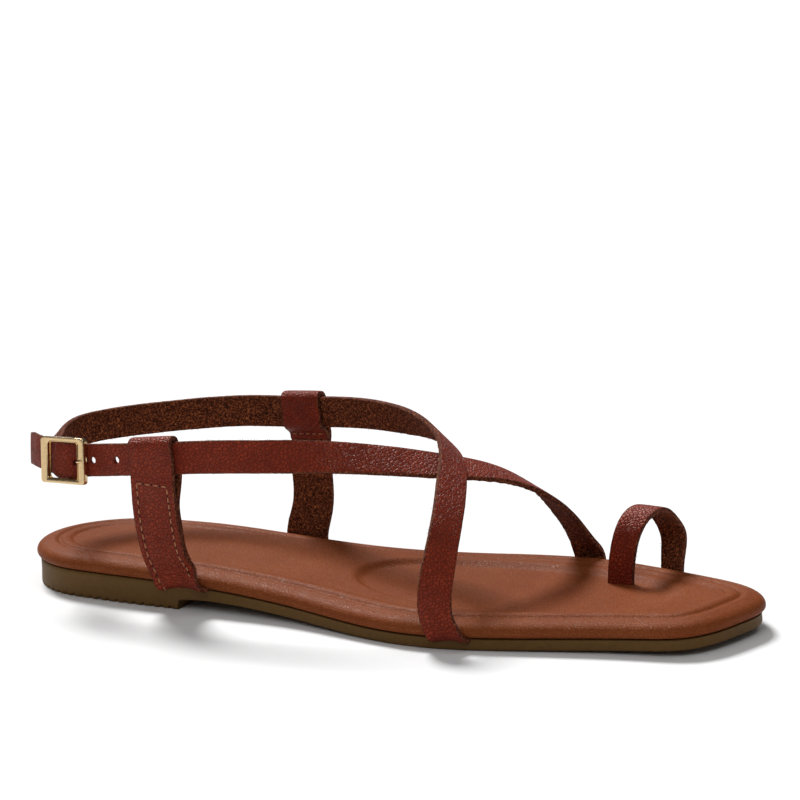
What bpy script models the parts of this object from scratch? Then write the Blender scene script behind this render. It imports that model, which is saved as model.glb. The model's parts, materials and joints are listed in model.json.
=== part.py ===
"""Toe loop sandal, right shoe, standing empty on its sole.

Metres, +Z up, +X to the toe, +Y to the medial side. The origin is the middle of the heel's flat rest.
"""

from collections import namedtuple
import math

import bmesh
import bpy
import numpy as np

MM = 0.001

# Sole: driving sizes
LENGTH = 250 * MM
BALL_WIDTH = 89 * MM
HEEL_WIDTH = 57.5 * MM
HEEL_ROUND = 32 * MM
HEEL_SEAT = 30 * MM
HEEL_SOLE = 8.8 * MM
FORE_SOLE = 3.6 * MM
TOE_SPRING = 2.4 * MM
HEEL_BREAST = 66 * MM
BREAST_RUN = 0.4 * MM
BREAST_BLEND = 1.8 * MM
SOLE_EDGE = 0.6 * MM

# Footbed: driving sizes
FOOTBED_RISE = 5.9 * MM
FOOTBED_OVERHANG = 1.1 * MM
FOOTBED_ROLL = 6.5 * MM
FOOTBED_BAND = 3.3 * MM
BAND_GROOVE = 0.4 * MM
HEEL_DISH = 0.9 * MM
FORE_DISH = 1.7 * MM
ARCH_SWELL = 1.6 * MM

# Straps: driving sizes
STRAP_WIDTH = 10.5 * MM
STRAP_THICK = 1.8 * MM
STRAP_EDGE = 0.35 * MM
INSTEP_RISE = 55 * MM
LATERAL_KEEPER_WIDTH = 15.6 * MM
MEDIAL_KEEPER_WIDTH = 14.2 * MM
KEEPER_THICK = 1.7 * MM
KEEPER_CORNER = 1.9 * MM
TOE_STRAP_WIDTH = 8.8 * MM
TOE_LOOP_RISE = 30 * MM
TUCK_REACH = 13 * MM
TUCK_SINK = 0.8 * MM
TUCK_BEND = 3.2 * MM
RIM_PRESS = 0.5 * MM
FIT_GAP = 0.3 * MM
FRAME_PITCH = 3.3 * MM

# Buckle: driving sizes
BUCKLE_LENGTH = 18.6 * MM
BUCKLE_HEIGHT = 15.0 * MM
BUCKLE_THICK = 2.0 * MM
BUCKLE_OPENING = 12.8 * MM
BUCKLE_RAIL = 1.55 * MM
BUCKLE_DROP = 0.2 * MM
BUCKLE_CORNER = 1.1 * MM
BAR_RADIUS = 0.65 * MM
FOLD_THICK = 1.0 * MM
STRAP_HUMP = 0.8 * MM
PRONG_RADIUS = 0.55 * MM
PRONG_DROP = 0.8 * MM
PUNCH_RADIUS = 1.0 * MM
PUNCH_START = 11.0 * MM
PUNCH_PITCH = 10.2 * MM

# Outline of the outsole's top. Along is a share of the length from the back of the heel, and lateral and
# medial are shares of the ball width from the middle line.
Side = namedtuple("Side", "along lateral medial")
SIDES = (
    Side(0.232, 0.342, 0.326),
    Side(0.340, 0.347, 0.325),
    Side(0.445, 0.380, 0.357),
    Side(0.550, 0.455, 0.438),
    Side(0.637, 0.484, 0.501),
    Side(0.720, 0.445, 0.520),
    Side(0.808, 0.376, 0.463),
    Side(0.896, 0.320, 0.366),
)
Toe = namedtuple("Toe", "along across")
TOE = (
    Toe(0.952, -0.271),
    Toe(0.979, -0.165),
    Toe(0.993, -0.039),
    Toe(1.000, 0.091),
    Toe(0.976, 0.226),
)
TOE_TIP = 3
HEEL_STEPS = 9
REAR_RUNGS = 16
FORE_RUNGS = 33
FOOTBED_COLUMNS = 10

# Where the sole's top falls from the heel to the ball and where its toe spring starts, as shares of the length.
WAIST_START = 0.18
WAIST_END = 0.60
SPRING_START = 0.66
SPRING_POWER = 1.7

# Free run of each strap's outer face. Along is a share of the length, across of the ball width and rise of
# the instep rise. Turn and tilt, in degrees, are the way the grain side faces: round from the toe, and up.
Run = namedtuple("Run", "along across rise turn tilt")
OVER_STRAP = (
    Run(0.662, -0.513, 0.334, -66, 8),
    Run(0.662, -0.455, 0.515, -42, 16),
    Run(0.653, -0.330, 0.706, -27, 31),
    Run(0.634, -0.177, 0.847, -14, 41),
    Run(0.610, -0.028, 0.933, 3, 42),
    Run(0.577, 0.099, 0.982, 31, 43),
    Run(0.531, 0.209, 1.007, 54, 35),
    Run(0.474, 0.289, 1.009, 68, 19),
    Run(0.403, 0.350, 0.998, 80, 9),
    Run(0.320, 0.392, 0.965, 86, 5),
    Run(0.220, 0.396, 0.939, 92, 2),
    Run(0.120, 0.355, 0.889, 108, 1),
    Run(0.053, 0.260, 0.859, 130, 1),
    Run(0.022, 0.124, 0.841, 158, 2),
    Run(0.029, -0.028, 0.825, 190, 2),
    Run(0.051, -0.171, 0.827, 218, 1),
)
UNDER_STRAP = (
    Run(0.701, 0.506, 0.289, 72, 6),
    Run(0.690, 0.429, 0.458, 66, 26),
    Run(0.680, 0.292, 0.634, 52, 46),
    Run(0.655, 0.138, 0.780, 19, 62),
    Run(0.619, -0.040, 0.875, -25, 60),
    Run(0.561, -0.196, 0.942, -66, 48),
    Run(0.494, -0.316, 0.982, -80, 34),
    Run(0.407, -0.387, 0.976, -86, 13),
    Run(0.320, -0.413, 0.951, -90, 0),
    Run(0.241, -0.409, 0.913, -92, 0),
    Run(0.161, -0.370, 0.869, -97, 0),
    Run(0.105, -0.346, 0.851, -101, 0),
    Run(0.061, -0.307, 0.865, -115, 0),
    Run(0.031, -0.245, 0.864, -135, -2),
)
BUCKLE_ALONG = 0.109
LATERAL_KEEPER_ALONG = 0.258
MEDIAL_KEEPER_ALONG = 0.322

# The keepers' legs, from just above the footbed's rim up, in the same shares, with how many leaves thick.
Leg = namedtuple("Leg", "along across rise turn tilt leaves")
LATERAL_LEG = (
    Leg(0.254, -0.393, 0.320, -92, -7, 2),
    Leg(0.252, -0.404, 0.430, -92, -6, 2),
    Leg(0.254, -0.418, 0.650, -92, -4, 2),
)
MEDIAL_LEG = (
    Leg(0.329, 0.380, 0.360, 89, -7, 1),
    Leg(0.329, 0.393, 0.560, 88, -4, 1),
    Leg(0.326, 0.408, 0.775, 87, -2, 1),
    Leg(0.326, 0.409, 0.795, 87, -2, 2),
)

# The toe loop rises through a slit in the footbed, and its rise is a share of the loop's own rise.
TOE_LOOP = (
    Run(0.795, 0.218, 0.154, -96, 0),
    Run(0.796, 0.216, 0.354, -93, 0),
    Run(0.799, 0.221, 0.620, -94, 4),
    Run(0.804, 0.243, 0.850, -92, 23),
    Run(0.811, 0.300, 1.007, -89, 58),
    Run(0.820, 0.384, 1.017, 88, 80),
    Run(0.826, 0.455, 0.864, 84, 35),
    Run(0.831, 0.501, 0.620, 88, 7),
)


def lerp(a, b, share):
    return a + (b - a) * share


def smoothstep(value):
    value = np.clip(value, 0.0, 1.0)
    return value * value * (3 - 2 * value)


def unit(vectors):
    vectors = np.asarray(vectors, float)
    return vectors / np.linalg.norm(vectors, axis=-1, keepdims=True)


def cubic(knots, values, at, closed=False):
    """Values and slopes at the given places of a smooth curve through rows of values, one row a knot."""
    count = len(knots)
    step = np.diff(knots)
    rise = np.diff(values, axis=0) / step[:, None]
    system = np.eye(count)
    known = np.zeros((count, values.shape[1]))
    for i in range(1, count - 1):
        system[i, i - 1 : i + 2] = step[i - 1], 2 * (step[i - 1] + step[i]), step[i]
        known[i] = 6 * (rise[i] - rise[i - 1])
    if closed:
        system[0, 0] = 2 * (step[0] + step[-1])
        system[0, 1], system[0, count - 2] = step[0], step[-1]
        known[0] = 6 * (rise[0] - rise[-1])
        system[-1, 0] = -1
    bend = np.linalg.solve(system, known)
    span = np.clip(np.searchsorted(knots, at, side="right") - 1, 0, count - 2)
    width = step[span][:, None]
    left = (knots[span + 1] - at)[:, None]
    right = (at - knots[span])[:, None]
    point = (
        bend[span] * left**3 / (6 * width)
        + bend[span + 1] * right**3 / (6 * width)
        + (values[span] / width - bend[span] * width / 6) * left
        + (values[span + 1] / width - bend[span + 1] * width / 6) * right
    )
    slope = (
        -bend[span] * left**2 / (2 * width)
        + bend[span + 1] * right**2 / (2 * width)
        + rise[span]
        - (bend[span + 1] - bend[span]) * width / 6
    )
    return point, slope


def chord(points):
    """Distance along a chain of points."""
    return np.r_[0.0, np.cumsum(np.linalg.norm(np.diff(points, axis=0), axis=1))]


Frames = namedtuple("Frames", "centre grain ahead thick")
Place = namedtuple("Place", "centre ahead up outward")


def outline_curve():
    """The closed outline as 2D points, dense and evenly run, from the back of the heel round the lateral side."""
    turn = np.linspace(-math.pi / 2, math.pi / 2, HEEL_STEPS)
    heel = np.c_[HEEL_ROUND * (1 - np.cos(turn)), HEEL_WIDTH / 2 * np.sin(turn)]
    back = HEEL_STEPS // 2
    lateral = [(row.along * LENGTH, -row.lateral * BALL_WIDTH) for row in SIDES]
    medial = [(row.along * LENGTH, row.medial * BALL_WIDTH) for row in reversed(SIDES)]
    toe = [(row.along * LENGTH, row.across * BALL_WIDTH) for row in TOE]
    knots = np.vstack([heel[back::-1], lateral, toe, medial, heel[:back:-1], heel[back : back + 1]])
    knots[:, 0] -= HEEL_SEAT
    run = chord(knots)
    places = np.linspace(0, run[-1], 1601)
    curve, slope = cubic(run, knots, places, closed=True)
    out = unit(np.c_[slope[:, 1], -slope[:, 0]])
    tip = run[back + 1 + len(SIDES) + TOE_TIP]
    return places, curve, out, tip


def side_place(places, curve, tip, x, lateral):
    """Distance round the outline at which one side has this x."""
    wanted = places < tip if lateral else places > tip
    column = np.where(wanted)[0]
    nearest = column[np.argmin(np.abs(curve[column, 0] - x))]
    return places[nearest]


def outline_ring():
    """The outline as a ring of points with outward directions: heel tip, lateral rungs, toe tip, medial rungs."""
    places, curve, out, tip = outline_curve()
    breast = HEEL_BREAST - HEEL_SEAT
    stops = []
    for lateral in (True, False):
        rear = side_place(places, curve, tip, breast, lateral)
        fore = side_place(places, curve, tip, breast + BREAST_RUN, lateral)
        start = 0.0 if lateral else places[-1]
        first = np.linspace(start, rear, REAR_RUNGS + 1)[1:]
        second = np.linspace(fore, tip, FORE_RUNGS + 1)[:-1]
        stops.append(np.r_[first, second])
    ring = np.r_[0.0, stops[0], tip, stops[1][::-1]]
    point = np.c_[np.interp(ring, places, curve[:, 0]), np.interp(ring, places, curve[:, 1])]
    away = unit(np.c_[np.interp(ring, places, out[:, 0]), np.interp(ring, places, out[:, 1])])
    away[0] = (-1.0, 0.0)
    return point, away


def sole_top(x):
    """Height of the seam between outsole and footbed, which depends on the distance from the heel alone."""
    x = np.asarray(x, float) + HEEL_SEAT
    waist = smoothstep((x - WAIST_START * LENGTH) / ((WAIST_END - WAIST_START) * LENGTH))
    spring = np.clip((x - SPRING_START * LENGTH) / ((1 - SPRING_START) * LENGTH), 0, 1.2)
    return lerp(HEEL_SOLE, FORE_SOLE, waist) + TOE_SPRING * spring**SPRING_POWER


def sole_bottom(x):
    """The heel block and the ball stand on the floor, and the waist and the toe are clear of it."""
    past = np.asarray(x, float) + HEEL_SEAT - HEEL_BREAST
    blend = BREAST_BLEND * np.exp(-np.maximum(past, 0) / (4 * BREAST_BLEND))
    return np.where(past < BREAST_RUN / 2, 0.0, sole_top(x) - FORE_SOLE - blend)


def footbed_top(x, y):
    """Height of the footbed's inner face above the seam, with its dishes, arch and moulded forefoot."""
    along = (np.asarray(x, float) + HEEL_SEAT) / LENGTH
    across = np.asarray(y, float) / BALL_WIDTH
    heel = np.exp(-(((along - 0.14) / 0.13) ** 2) - (across / 0.20) ** 2)
    arch = np.exp(-(((along - 0.40) / 0.10) ** 2) - ((across - 0.26) / 0.15) ** 2)
    oval = np.hypot((along - 0.685) / 0.225, (across - 0.02) / 0.34)
    dish = smoothstep((1.0 - oval) / 0.16)
    return FOOTBED_RISE - BAND_GROOVE - HEEL_DISH * heel + ARCH_SWELL * arch - FORE_DISH * dish


def material(name, colour, roughness, metallic=0.0):
    """A Principled material with its base colour as linear values."""
    made = bpy.data.materials.new(name)
    made.use_nodes = True
    shader = made.node_tree.nodes["Principled BSDF"]
    shader.inputs["Base Color"].default_value = (*colour, 1.0)
    shader.inputs["Roughness"].default_value = roughness
    shader.inputs["Metallic"].default_value = metallic
    made.diffuse_color = (*colour, 1.0)
    return made


def add_object(name, points, faces, finish=None):
    """A closed mesh from points and faces, with its normals out. One with no finish is a helper and hidden."""
    mesh = bpy.data.meshes.new(name)
    mesh.from_pydata([tuple(map(float, p)) for p in points], [], faces)
    shape = bmesh.new()
    shape.from_mesh(mesh)
    bmesh.ops.recalc_face_normals(shape, faces=shape.faces)
    shape.to_mesh(mesh)
    shape.free()
    mesh.shade_smooth()
    mesh.set_sharp_from_angle(angle=math.radians(40))
    made = bpy.data.objects.new(name, mesh)
    bpy.context.scene.collection.objects.link(made)
    if finish:
        mesh.materials.append(finish)
    else:
        made.hide_render = True
        made.display_type = "WIRE"
    return made


def combine(target, other, operation):
    """An exact Boolean kept as a modifier on the target."""
    change = target.modifiers.new(operation.title() + " " + other.name, "BOOLEAN")
    change.operation = operation
    change.solver = "EXACT"
    change.object = other


def strips(points, faces, rings, wrap):
    """Adds rings of the same count, each joined to the one before, and the last to the first if wrap is set."""
    start = len(points)
    count = len(rings[0])
    for ring in rings:
        points.extend(tuple(p) for p in ring)
    for k in range(len(rings) if wrap else len(rings) - 1):
        low, high = start + k * count, start + (k + 1) % len(rings) * count
        for i in range(count):
            j = (i + 1) % count
            faces.append((low + i, low + j, high + j))
            faces.append((low + i, high + j, high + i))


def ladder(points, faces, ring, start, columns, height):
    """Closes a ring with rungs from side to side, at the heights that a function gives."""
    count = len(ring)
    rungs = (count - 2) // 2
    heel, toe = start, start + rungs + 1
    grid = []
    for r in range(rungs):
        row = [start + 1 + r]
        for c in range(1, columns):
            x, y = lerp(ring[1 + r], ring[count - 1 - r], c / columns)[:2]
            row.append(len(points))
            points.append((x, y, float(height(x, y))))
        grid.append(row + [start + count - 1 - r])
    for c in range(columns):
        faces.append((heel, grid[0][c], grid[0][c + 1]))
        faces.append((toe, grid[-1][c + 1], grid[-1][c]))
        for r in range(rungs - 1):
            faces.append((grid[r][c], grid[r + 1][c], grid[r + 1][c + 1], grid[r][c + 1]))


def layered(rings, columns, height):
    """Points and faces of a solid whose side is a stack of rings, with a plain base and a shaped top."""
    points, faces = [], []
    strips(points, faces, rings, False)
    ladder(points, faces, rings[0], 0, 1, None)
    ladder(points, faces, rings[-1], (len(rings) - 1) * len(rings[0]), columns, height)
    return points, faces


def make_outsole(finish):
    point, away = outline_ring()
    x = point[:, 0]
    rings = []
    for inset, rise in ((SOLE_EDGE, 0.0), (SOLE_EDGE * 0.3, SOLE_EDGE * 0.3), (0.0, SOLE_EDGE)):
        rings.append(np.c_[point - away * inset, sole_bottom(x) + rise])
    rings.append(np.c_[point, sole_top(x)])
    return add_object("outsole", *layered(rings, 1, None), finish)


def make_footbed(finish):
    """A padded footbed: a rolled rim, a pressed groove, a raised band inside it and a moulded face."""
    point, away = outline_ring()
    x = point[:, 0]
    base = sole_top(x) + FIT_GAP
    bulge = FOOTBED_OVERHANG
    full = FOOTBED_RISE - FIT_GAP
    inner = FOOTBED_ROLL + FOOTBED_BAND
    rows = (
        (1.2 * bulge, 0.0),
        (-0.2 * bulge, 0.04 * full),
        (-0.9 * bulge, 0.18 * full),
        (-bulge, 0.34 * full),
        (-0.5 * bulge, 0.58 * full),
        (0.16 * FOOTBED_ROLL, 0.78 * full),
        (0.48 * FOOTBED_ROLL, 0.88 * full),
        (0.84 * FOOTBED_ROLL, 0.90 * full),
        (FOOTBED_ROLL, 0.90 * full - BAND_GROOVE),
        (1.14 * FOOTBED_ROLL, 0.92 * full),
        (inner, full),
        (1.16 * inner, full - BAND_GROOVE),
    )
    rings = [np.c_[point - away * inset, base + up] for inset, up in rows]

    def height(x, y):
        return sole_top(x) + footbed_top(x, y)

    return add_object("footbed", *layered(rings, FOOTBED_COLUMNS, height), finish)


def direction(turn, tilt):
    turn, tilt = math.radians(turn), math.radians(tilt)
    return (math.cos(turn) * math.cos(tilt), math.sin(turn) * math.cos(tilt), math.sin(tilt))


def free_rows(table, rise):
    """Points and grain directions of a table of runs."""
    points = [(r.along * LENGTH - HEEL_SEAT, r.across * BALL_WIDTH, r.rise * rise) for r in table]
    return np.array(points), np.array([direction(r.turn, r.tilt) for r in table])


def tuck_rows(along, lateral, skew):
    """Rows that carry a strap from under the footbed out and up round its rim, inner end first.

    Skew, in degrees, leans the strap so that its hidden end points towards the toe.
    """
    places, curve, out, tip = outline_curve()
    start = side_place(places, curve, tip, along * LENGTH - HEEL_SEAT, lateral)
    lean = math.tan(math.radians(skew))
    low = float(sole_top(along * LENGTH - HEEL_SEAT)) - TUCK_SINK
    reach_out = FOOTBED_OVERHANG + STRAP_THICK - RIM_PRESS
    points, faces = [], []
    for degrees, hidden in ((0, 1.0), (0, 0.6), (0, 0.25), (0, 0), (30, 0), (60, 0), (90, 0), (90, -0.12)):
        a = math.radians(degrees)
        flat = TUCK_REACH * max(hidden, 0)
        above = TUCK_REACH * max(-hidden, 0)
        shift = lean * (flat + TUCK_BEND * (math.pi / 2 - a) - above)
        place = start + (shift if lateral else -shift)
        edge = np.array([np.interp(place, places, curve[:, i]) for i in (0, 1)])
        away = unit([np.interp(place, places, out[:, i]) for i in (0, 1)])
        out_by = reach_out - TUCK_BEND * (1 - math.sin(a)) - flat
        points.append((*(edge + away * out_by), low + TUCK_BEND * (1 - math.cos(a)) + above))
        faces.append((*(away * math.sin(a)), -math.cos(a)))
    return np.array(points), np.array(faces, float)


def joined(*rows):
    """Rows of points and grain directions end to end."""
    return np.vstack([r[0] for r in rows]), np.vstack([r[1] for r in rows])


def strap_frames(points, faces, thick=None):
    """Smooth frames through rows: the middle of the outer face and its axes, and the leather's thickness."""
    run = chord(points)
    steps = []
    for start, end in zip(run, run[1:]):
        steps.append(np.linspace(start, end, 1 + int((end - start) / FRAME_PITCH), endpoint=False))
    places = np.concatenate([*steps, run[-1:]])
    both, slope = cubic(run, np.hstack([points, unit(faces)]), places)
    ahead = unit(slope[:, :3])
    grain = both[:, 3:]
    grain = unit(grain - (grain * ahead).sum(1, keepdims=True) * ahead)
    rows = np.full(len(run), STRAP_THICK) if thick is None else np.array(thick)
    return Frames(both[:, :3], grain, ahead, np.interp(places, run, rows))


def part_of(frames, start, end, way=1):
    """Some of the frames, the last one first if way is -1."""
    centre, grain, ahead, thick = (values[start:end:way] for values in frames)
    return Frames(centre, grain, ahead * way, thick)


def rounded_end(frames, radius, degrees):
    """The frames with a rounded end added, of this radius in the thickness."""
    centre, grain, ahead, thick = (values[-1] for values in frames)
    extra = []
    for angle in degrees:
        a = math.radians(angle)
        inset = radius * (1 - math.cos(a))
        extra.append((centre + ahead * radius * math.sin(a) - grain * inset, grain, ahead, thick - 2 * inset))
    return Frames(*(np.concatenate([values, np.array([e[i] for e in extra])]) for i, values in enumerate(frames)))


def ribbon(name, frames, width, finish=None, grow=0.0):
    """A strap swept along frames, with its long edges rounded off. Grow makes it larger all round."""
    centre, grain, ahead, thick = frames
    if grow:
        centre = np.vstack([centre[0] - ahead[0] * grow, centre[1:-1], centre[-1] + ahead[-1] * grow])
    half, edge = width / 2 + grow, STRAP_EDGE
    rings = []
    for c, g, a, t in zip(centre, grain, ahead, thick):
        s = np.cross(g, a)
        edge = min(STRAP_EDGE, 0.3 * t)
        section = (
            (half - edge, grow),
            (half, grow - edge),
            (half, edge - t - grow),
            (half - edge, -t - grow),
            (edge - half, -t - grow),
            (-half, edge - t - grow),
            (-half, grow - edge),
            (edge - half, grow),
        )
        rings.append([c + s * across + g * up for across, up in section])
    return add_object(name, *capped(rings), finish)


def capped(rings):
    """Points and faces of a tube through rings, with a face at each end."""
    points, faces = [], []
    strips(points, faces, rings, False)
    faces.append(tuple(range(len(rings[0])))[::-1])
    faces.append(tuple(range(len(points) - len(rings[0]), len(points))))
    return points, faces


def tube(name, path, radius, side, finish=None, grow=0.0, sides=10):
    """A round wire along a path that lies in the plane square to side, with rounded ends."""
    path = np.asarray(path, float)
    ahead = unit(np.gradient(path, axis=0))
    radius += grow
    rings = []
    for k, (point, forward) in enumerate(zip(path, ahead)):
        across = unit(np.cross(forward, side))
        ends = [(0.0, 1.0)]
        if k == 0:
            ends = [(-0.85, 0.5), (-0.4, 0.88), (0.0, 1.0)]
        if k == len(path) - 1:
            ends = [(0.0, 1.0), (0.4, 0.88), (0.85, 0.5)]
        for shift, share in ends:
            middle = point + forward * shift * radius
            turns = np.arange(sides) * 2 * math.pi / sides
            rings.append([middle + share * radius * (across * math.cos(a) + side * math.sin(a)) for a in turns])
    return add_object(name, *capped(rings), finish)


def block(name, centre, axes, sizes, finish=None):
    """A box with its middle, axes and full sizes."""
    rings = []
    for k in (-0.5, 0.5):
        ring = []
        for i, j in ((-0.5, -0.5), (0.5, -0.5), (0.5, 0.5), (-0.5, 0.5)):
            ring.append(centre + axes[0] * sizes[0] * i + axes[1] * sizes[1] * j + axes[2] * sizes[2] * k)
        rings.append(ring)
    return add_object(name, *capped(rings), finish)


def rod(name, start, end, radius, sides=16):
    """A plain round cutter from end to end."""
    forward = unit(end - start)
    side = unit(np.cross(forward, (0.31, 0.42, 0.85)))
    across = np.cross(forward, side)
    turns = np.arange(sides) * 2 * math.pi / sides
    rings = [[p + radius * (across * math.cos(a) + side * math.sin(a)) for a in turns] for p in (start, end)]
    return add_object(name, *capped(rings))


def distance_at(frames, x):
    """Distance along a strap to where it first passes this x on its way to the heel."""
    run, along = chord(frames.centre), frames.centre[:, 0]
    passed = np.where((along[:-1] >= x) & (along[1:] < x))[0][0]
    return lerp(run[passed], run[passed + 1], (along[passed] - x) / (along[passed] - along[passed + 1]))


def station(frames, distance):
    """The middle of a strap's outer face and its axes at a distance along it: on, sideways and out."""
    run = chord(frames.centre)
    found = [
        np.array([np.interp(distance, run, values[:, i]) for i in range(3)])
        for values in (frames.centre, frames.grain, frames.ahead)
    ]
    outward = unit(found[1])
    ahead = unit(found[2] - (found[2] @ outward) * outward)
    return Place(found[0], ahead, np.cross(ahead, outward), outward)


def buckle_place(frames, middle):
    """The buckle lies flat on the strap, in line with the stretch in front of it."""
    here, before = station(frames, middle), station(frames, middle - 0.4 * BUCKLE_LENGTH)
    level = here.ahead + before.ahead
    ahead = unit(level - (level @ here.outward) * here.outward)
    up = np.cross(ahead, here.outward)
    up = up * np.sign(up[2])
    return Place(here.centre - up * BUCKLE_DROP, ahead, up, here.outward)


def under_strap_frames():
    """The under strap's frames, humped over the buckle's bar, and the buckle's place on it."""
    rows = joined(tuck_rows(0.708, False, 8), free_rows(UNDER_STRAP, INSTEP_RISE))
    frames = strap_frames(*rows)
    run = chord(frames.centre)
    middle = distance_at(frames, BUCKLE_ALONG * LENGTH - HEEL_SEAT)
    place = buckle_place(frames, middle)
    away = np.clip((run - middle) / BUCKLE_OPENING, -0.5, 0.5)
    hump = STRAP_HUMP * np.cos(math.pi * away) ** 2
    lifted = frames.centre + hump[:, None] * place.outward
    forward = unit(np.gradient(lifted, axis=0))
    grain = unit(frames.grain - (frames.grain * forward).sum(1, keepdims=True) * forward)
    return Frames(lifted, grain, forward, frames.thick), place, middle


def over_strap_frames(under, place, middle):
    """The over strap ends in a fold round the buckle's bar, behind the under strap."""
    rows = joined(tuck_rows(0.666, True, 28), free_rows(OVER_STRAP, INSTEP_RISE))
    beside = station(under, middle + 0.42 * BUCKLE_LENGTH)
    depth = STRAP_THICK + FIT_GAP + 0.2 * MM
    fold = BAR_RADIUS + FIT_GAP + FOLD_THICK
    bar = bar_middle(place)
    points = [
        beside.centre - beside.outward * depth,
        bar + place.ahead * 1.3 * fold + place.outward * 0.86 * fold,
        bar + place.outward * fold,
    ]
    faces = [beside.outward, place.outward, place.outward]
    rows = joined(rows, (np.array(points), np.array(faces)))
    folded = STRAP_THICK + FOLD_THICK
    thick = [STRAP_THICK] * (len(rows[0]) - 4) + [folded, folded, 1.5 * fold, 2 * fold]
    frames = strap_frames(*rows, thick)
    return rounded_end(frames, fold, (30, 55, 78))


def bar_middle(place):
    """The middle of the buckle's bar, behind the hump of the strap that crosses it."""
    fold = BAR_RADIUS + FIT_GAP + FOLD_THICK
    return place.centre + place.outward * (STRAP_HUMP - STRAP_THICK - 1.5 * FIT_GAP - fold)


def toe_loop_frames():
    points, faces = tuck_rows(0.832, False, 0)
    return strap_frames(*joined(free_rows(TOE_LOOP, TOE_LOOP_RISE), (points[::-1], faces[::-1])))


def keeper_frames(place, tuck, table):
    """A keeper from its tuck up its leg and round a strap, as one thickness that the strap's way is cut from."""
    up = place.up * np.sign(place.up[2])
    outer = FIT_GAP + KEEPER_THICK
    half = STRAP_WIDTH / 2 + FIT_GAP
    heights = (-half - 2.4 * MM, -half - 0.5 * MM, 0.0, half + KEEPER_THICK - KEEPER_CORNER)
    points = np.array([place.centre + place.outward * outer + up * height for height in heights])
    rows = joined(tuck, free_rows(table, INSTEP_RISE), (points, np.array([place.outward] * len(heights))))
    closed = STRAP_THICK + 2 * outer
    leaves = [row.leaves * KEEPER_THICK for row in table]
    thick = [STRAP_THICK] * len(tuck[0]) + leaves + [2 * KEEPER_THICK, closed, closed, closed]
    return rounded_end(strap_frames(*rows, thick), KEEPER_CORNER, (28, 56, 86))


def passage(name, strap, held):
    """The strap near a keeper, larger by the gap, to cut the keeper's way through."""
    run = chord(strap.centre)
    near = np.where(np.abs(run - held) < 16 * MM)[0]
    return ribbon(name, part_of(strap, near[0], near[-1] + 1), STRAP_WIDTH, grow=FIT_GAP)


def make_buckle(place, finish):
    """The frame with its bar on two lugs, and the prong."""
    axes = (place.ahead, place.up, place.outward)
    base = place.centre + place.outward * FIT_GAP
    edge = 0.22 * BUCKLE_THICK
    loops = (
        (BUCKLE_LENGTH - 2 * edge, BUCKLE_HEIGHT - 2 * edge, 0.0),
        (BUCKLE_LENGTH, BUCKLE_HEIGHT, edge),
        (BUCKLE_LENGTH, BUCKLE_HEIGHT, BUCKLE_THICK - edge),
        (BUCKLE_LENGTH - 2 * edge, BUCKLE_HEIGHT - 2 * edge, BUCKLE_THICK),
        (BUCKLE_OPENING + 2 * edge, BUCKLE_HEIGHT - 2 * BUCKLE_RAIL + 2 * edge, BUCKLE_THICK),
        (BUCKLE_OPENING, BUCKLE_HEIGHT - 2 * BUCKLE_RAIL, BUCKLE_THICK - edge),
        (BUCKLE_OPENING, BUCKLE_HEIGHT - 2 * BUCKLE_RAIL, edge),
        (BUCKLE_OPENING + 2 * edge, BUCKLE_HEIGHT - 2 * BUCKLE_RAIL + 2 * edge, 0.0),
    )
    rings = [[base + axes[0] * a + axes[1] * b + axes[2] * rise for a, b in corners(x, y)] for x, y, rise in loops]
    points, faces = [], []
    strips(points, faces, rings, True)
    frame = add_object("buckle_frame", points, faces, finish)
    rail = (BUCKLE_HEIGHT - BUCKLE_RAIL) / 2
    bar = bar_middle(place)
    depth = (base + place.outward * 0.5 * BUCKLE_THICK - bar) @ place.outward
    bend = 1.1 * MM
    stops = ((0, depth), (0, bend), (0.3 * bend, 0.3 * bend), (bend, 0))
    path = [bar + place.up * (rail - inset) + place.outward * rise for inset, rise in stops]
    path += [bar - place.up * (rail - inset) + place.outward * rise for inset, rise in stops[::-1]]
    wire = tube("bar_shape", path, BAR_RADIUS, place.ahead)
    combine(frame, wire, "UNION")
    return frame


def corners(x, y):
    """A rounded rectangle as a list of points, from its full sizes."""
    found = []
    for a, b, start in ((1, 1, 0), (-1, 1, 90), (-1, -1, 180), (1, -1, 270)):
        for step in (0, 30, 60, 90):
            turn = math.radians(start + step)
            found.append(
                (
                    a * (x / 2 - BUCKLE_CORNER) + BUCKLE_CORNER * math.cos(turn),
                    b * (y / 2 - BUCKLE_CORNER) + BUCKLE_CORNER * math.sin(turn),
                )
            )
    return found


def prong_path(place):
    """The prong loops round the bar, comes through the strap's hole and lies across the front bar."""
    bar = bar_middle(place)
    front = -place.ahead
    loop = BAR_RADIUS + FIT_GAP + PRONG_RADIUS
    path = []
    low = -PRONG_DROP * place.up
    for degrees in range(-20, -261, -30):
        a = math.radians(degrees)
        path.append(bar + low + loop * (front * math.cos(a) + place.outward * math.sin(a)))
    top = FIT_GAP + BUCKLE_THICK
    for along, out, drop in ((0.14, -0.3, 1.0), (0.27, 0.40, 0.5), (0.37, 0.90, 0.1), (0.46, 0.96, -0.2)):
        path.append(place.centre + low * drop + front * along * BUCKLE_LENGTH + place.outward * out * top)
    return path


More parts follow.
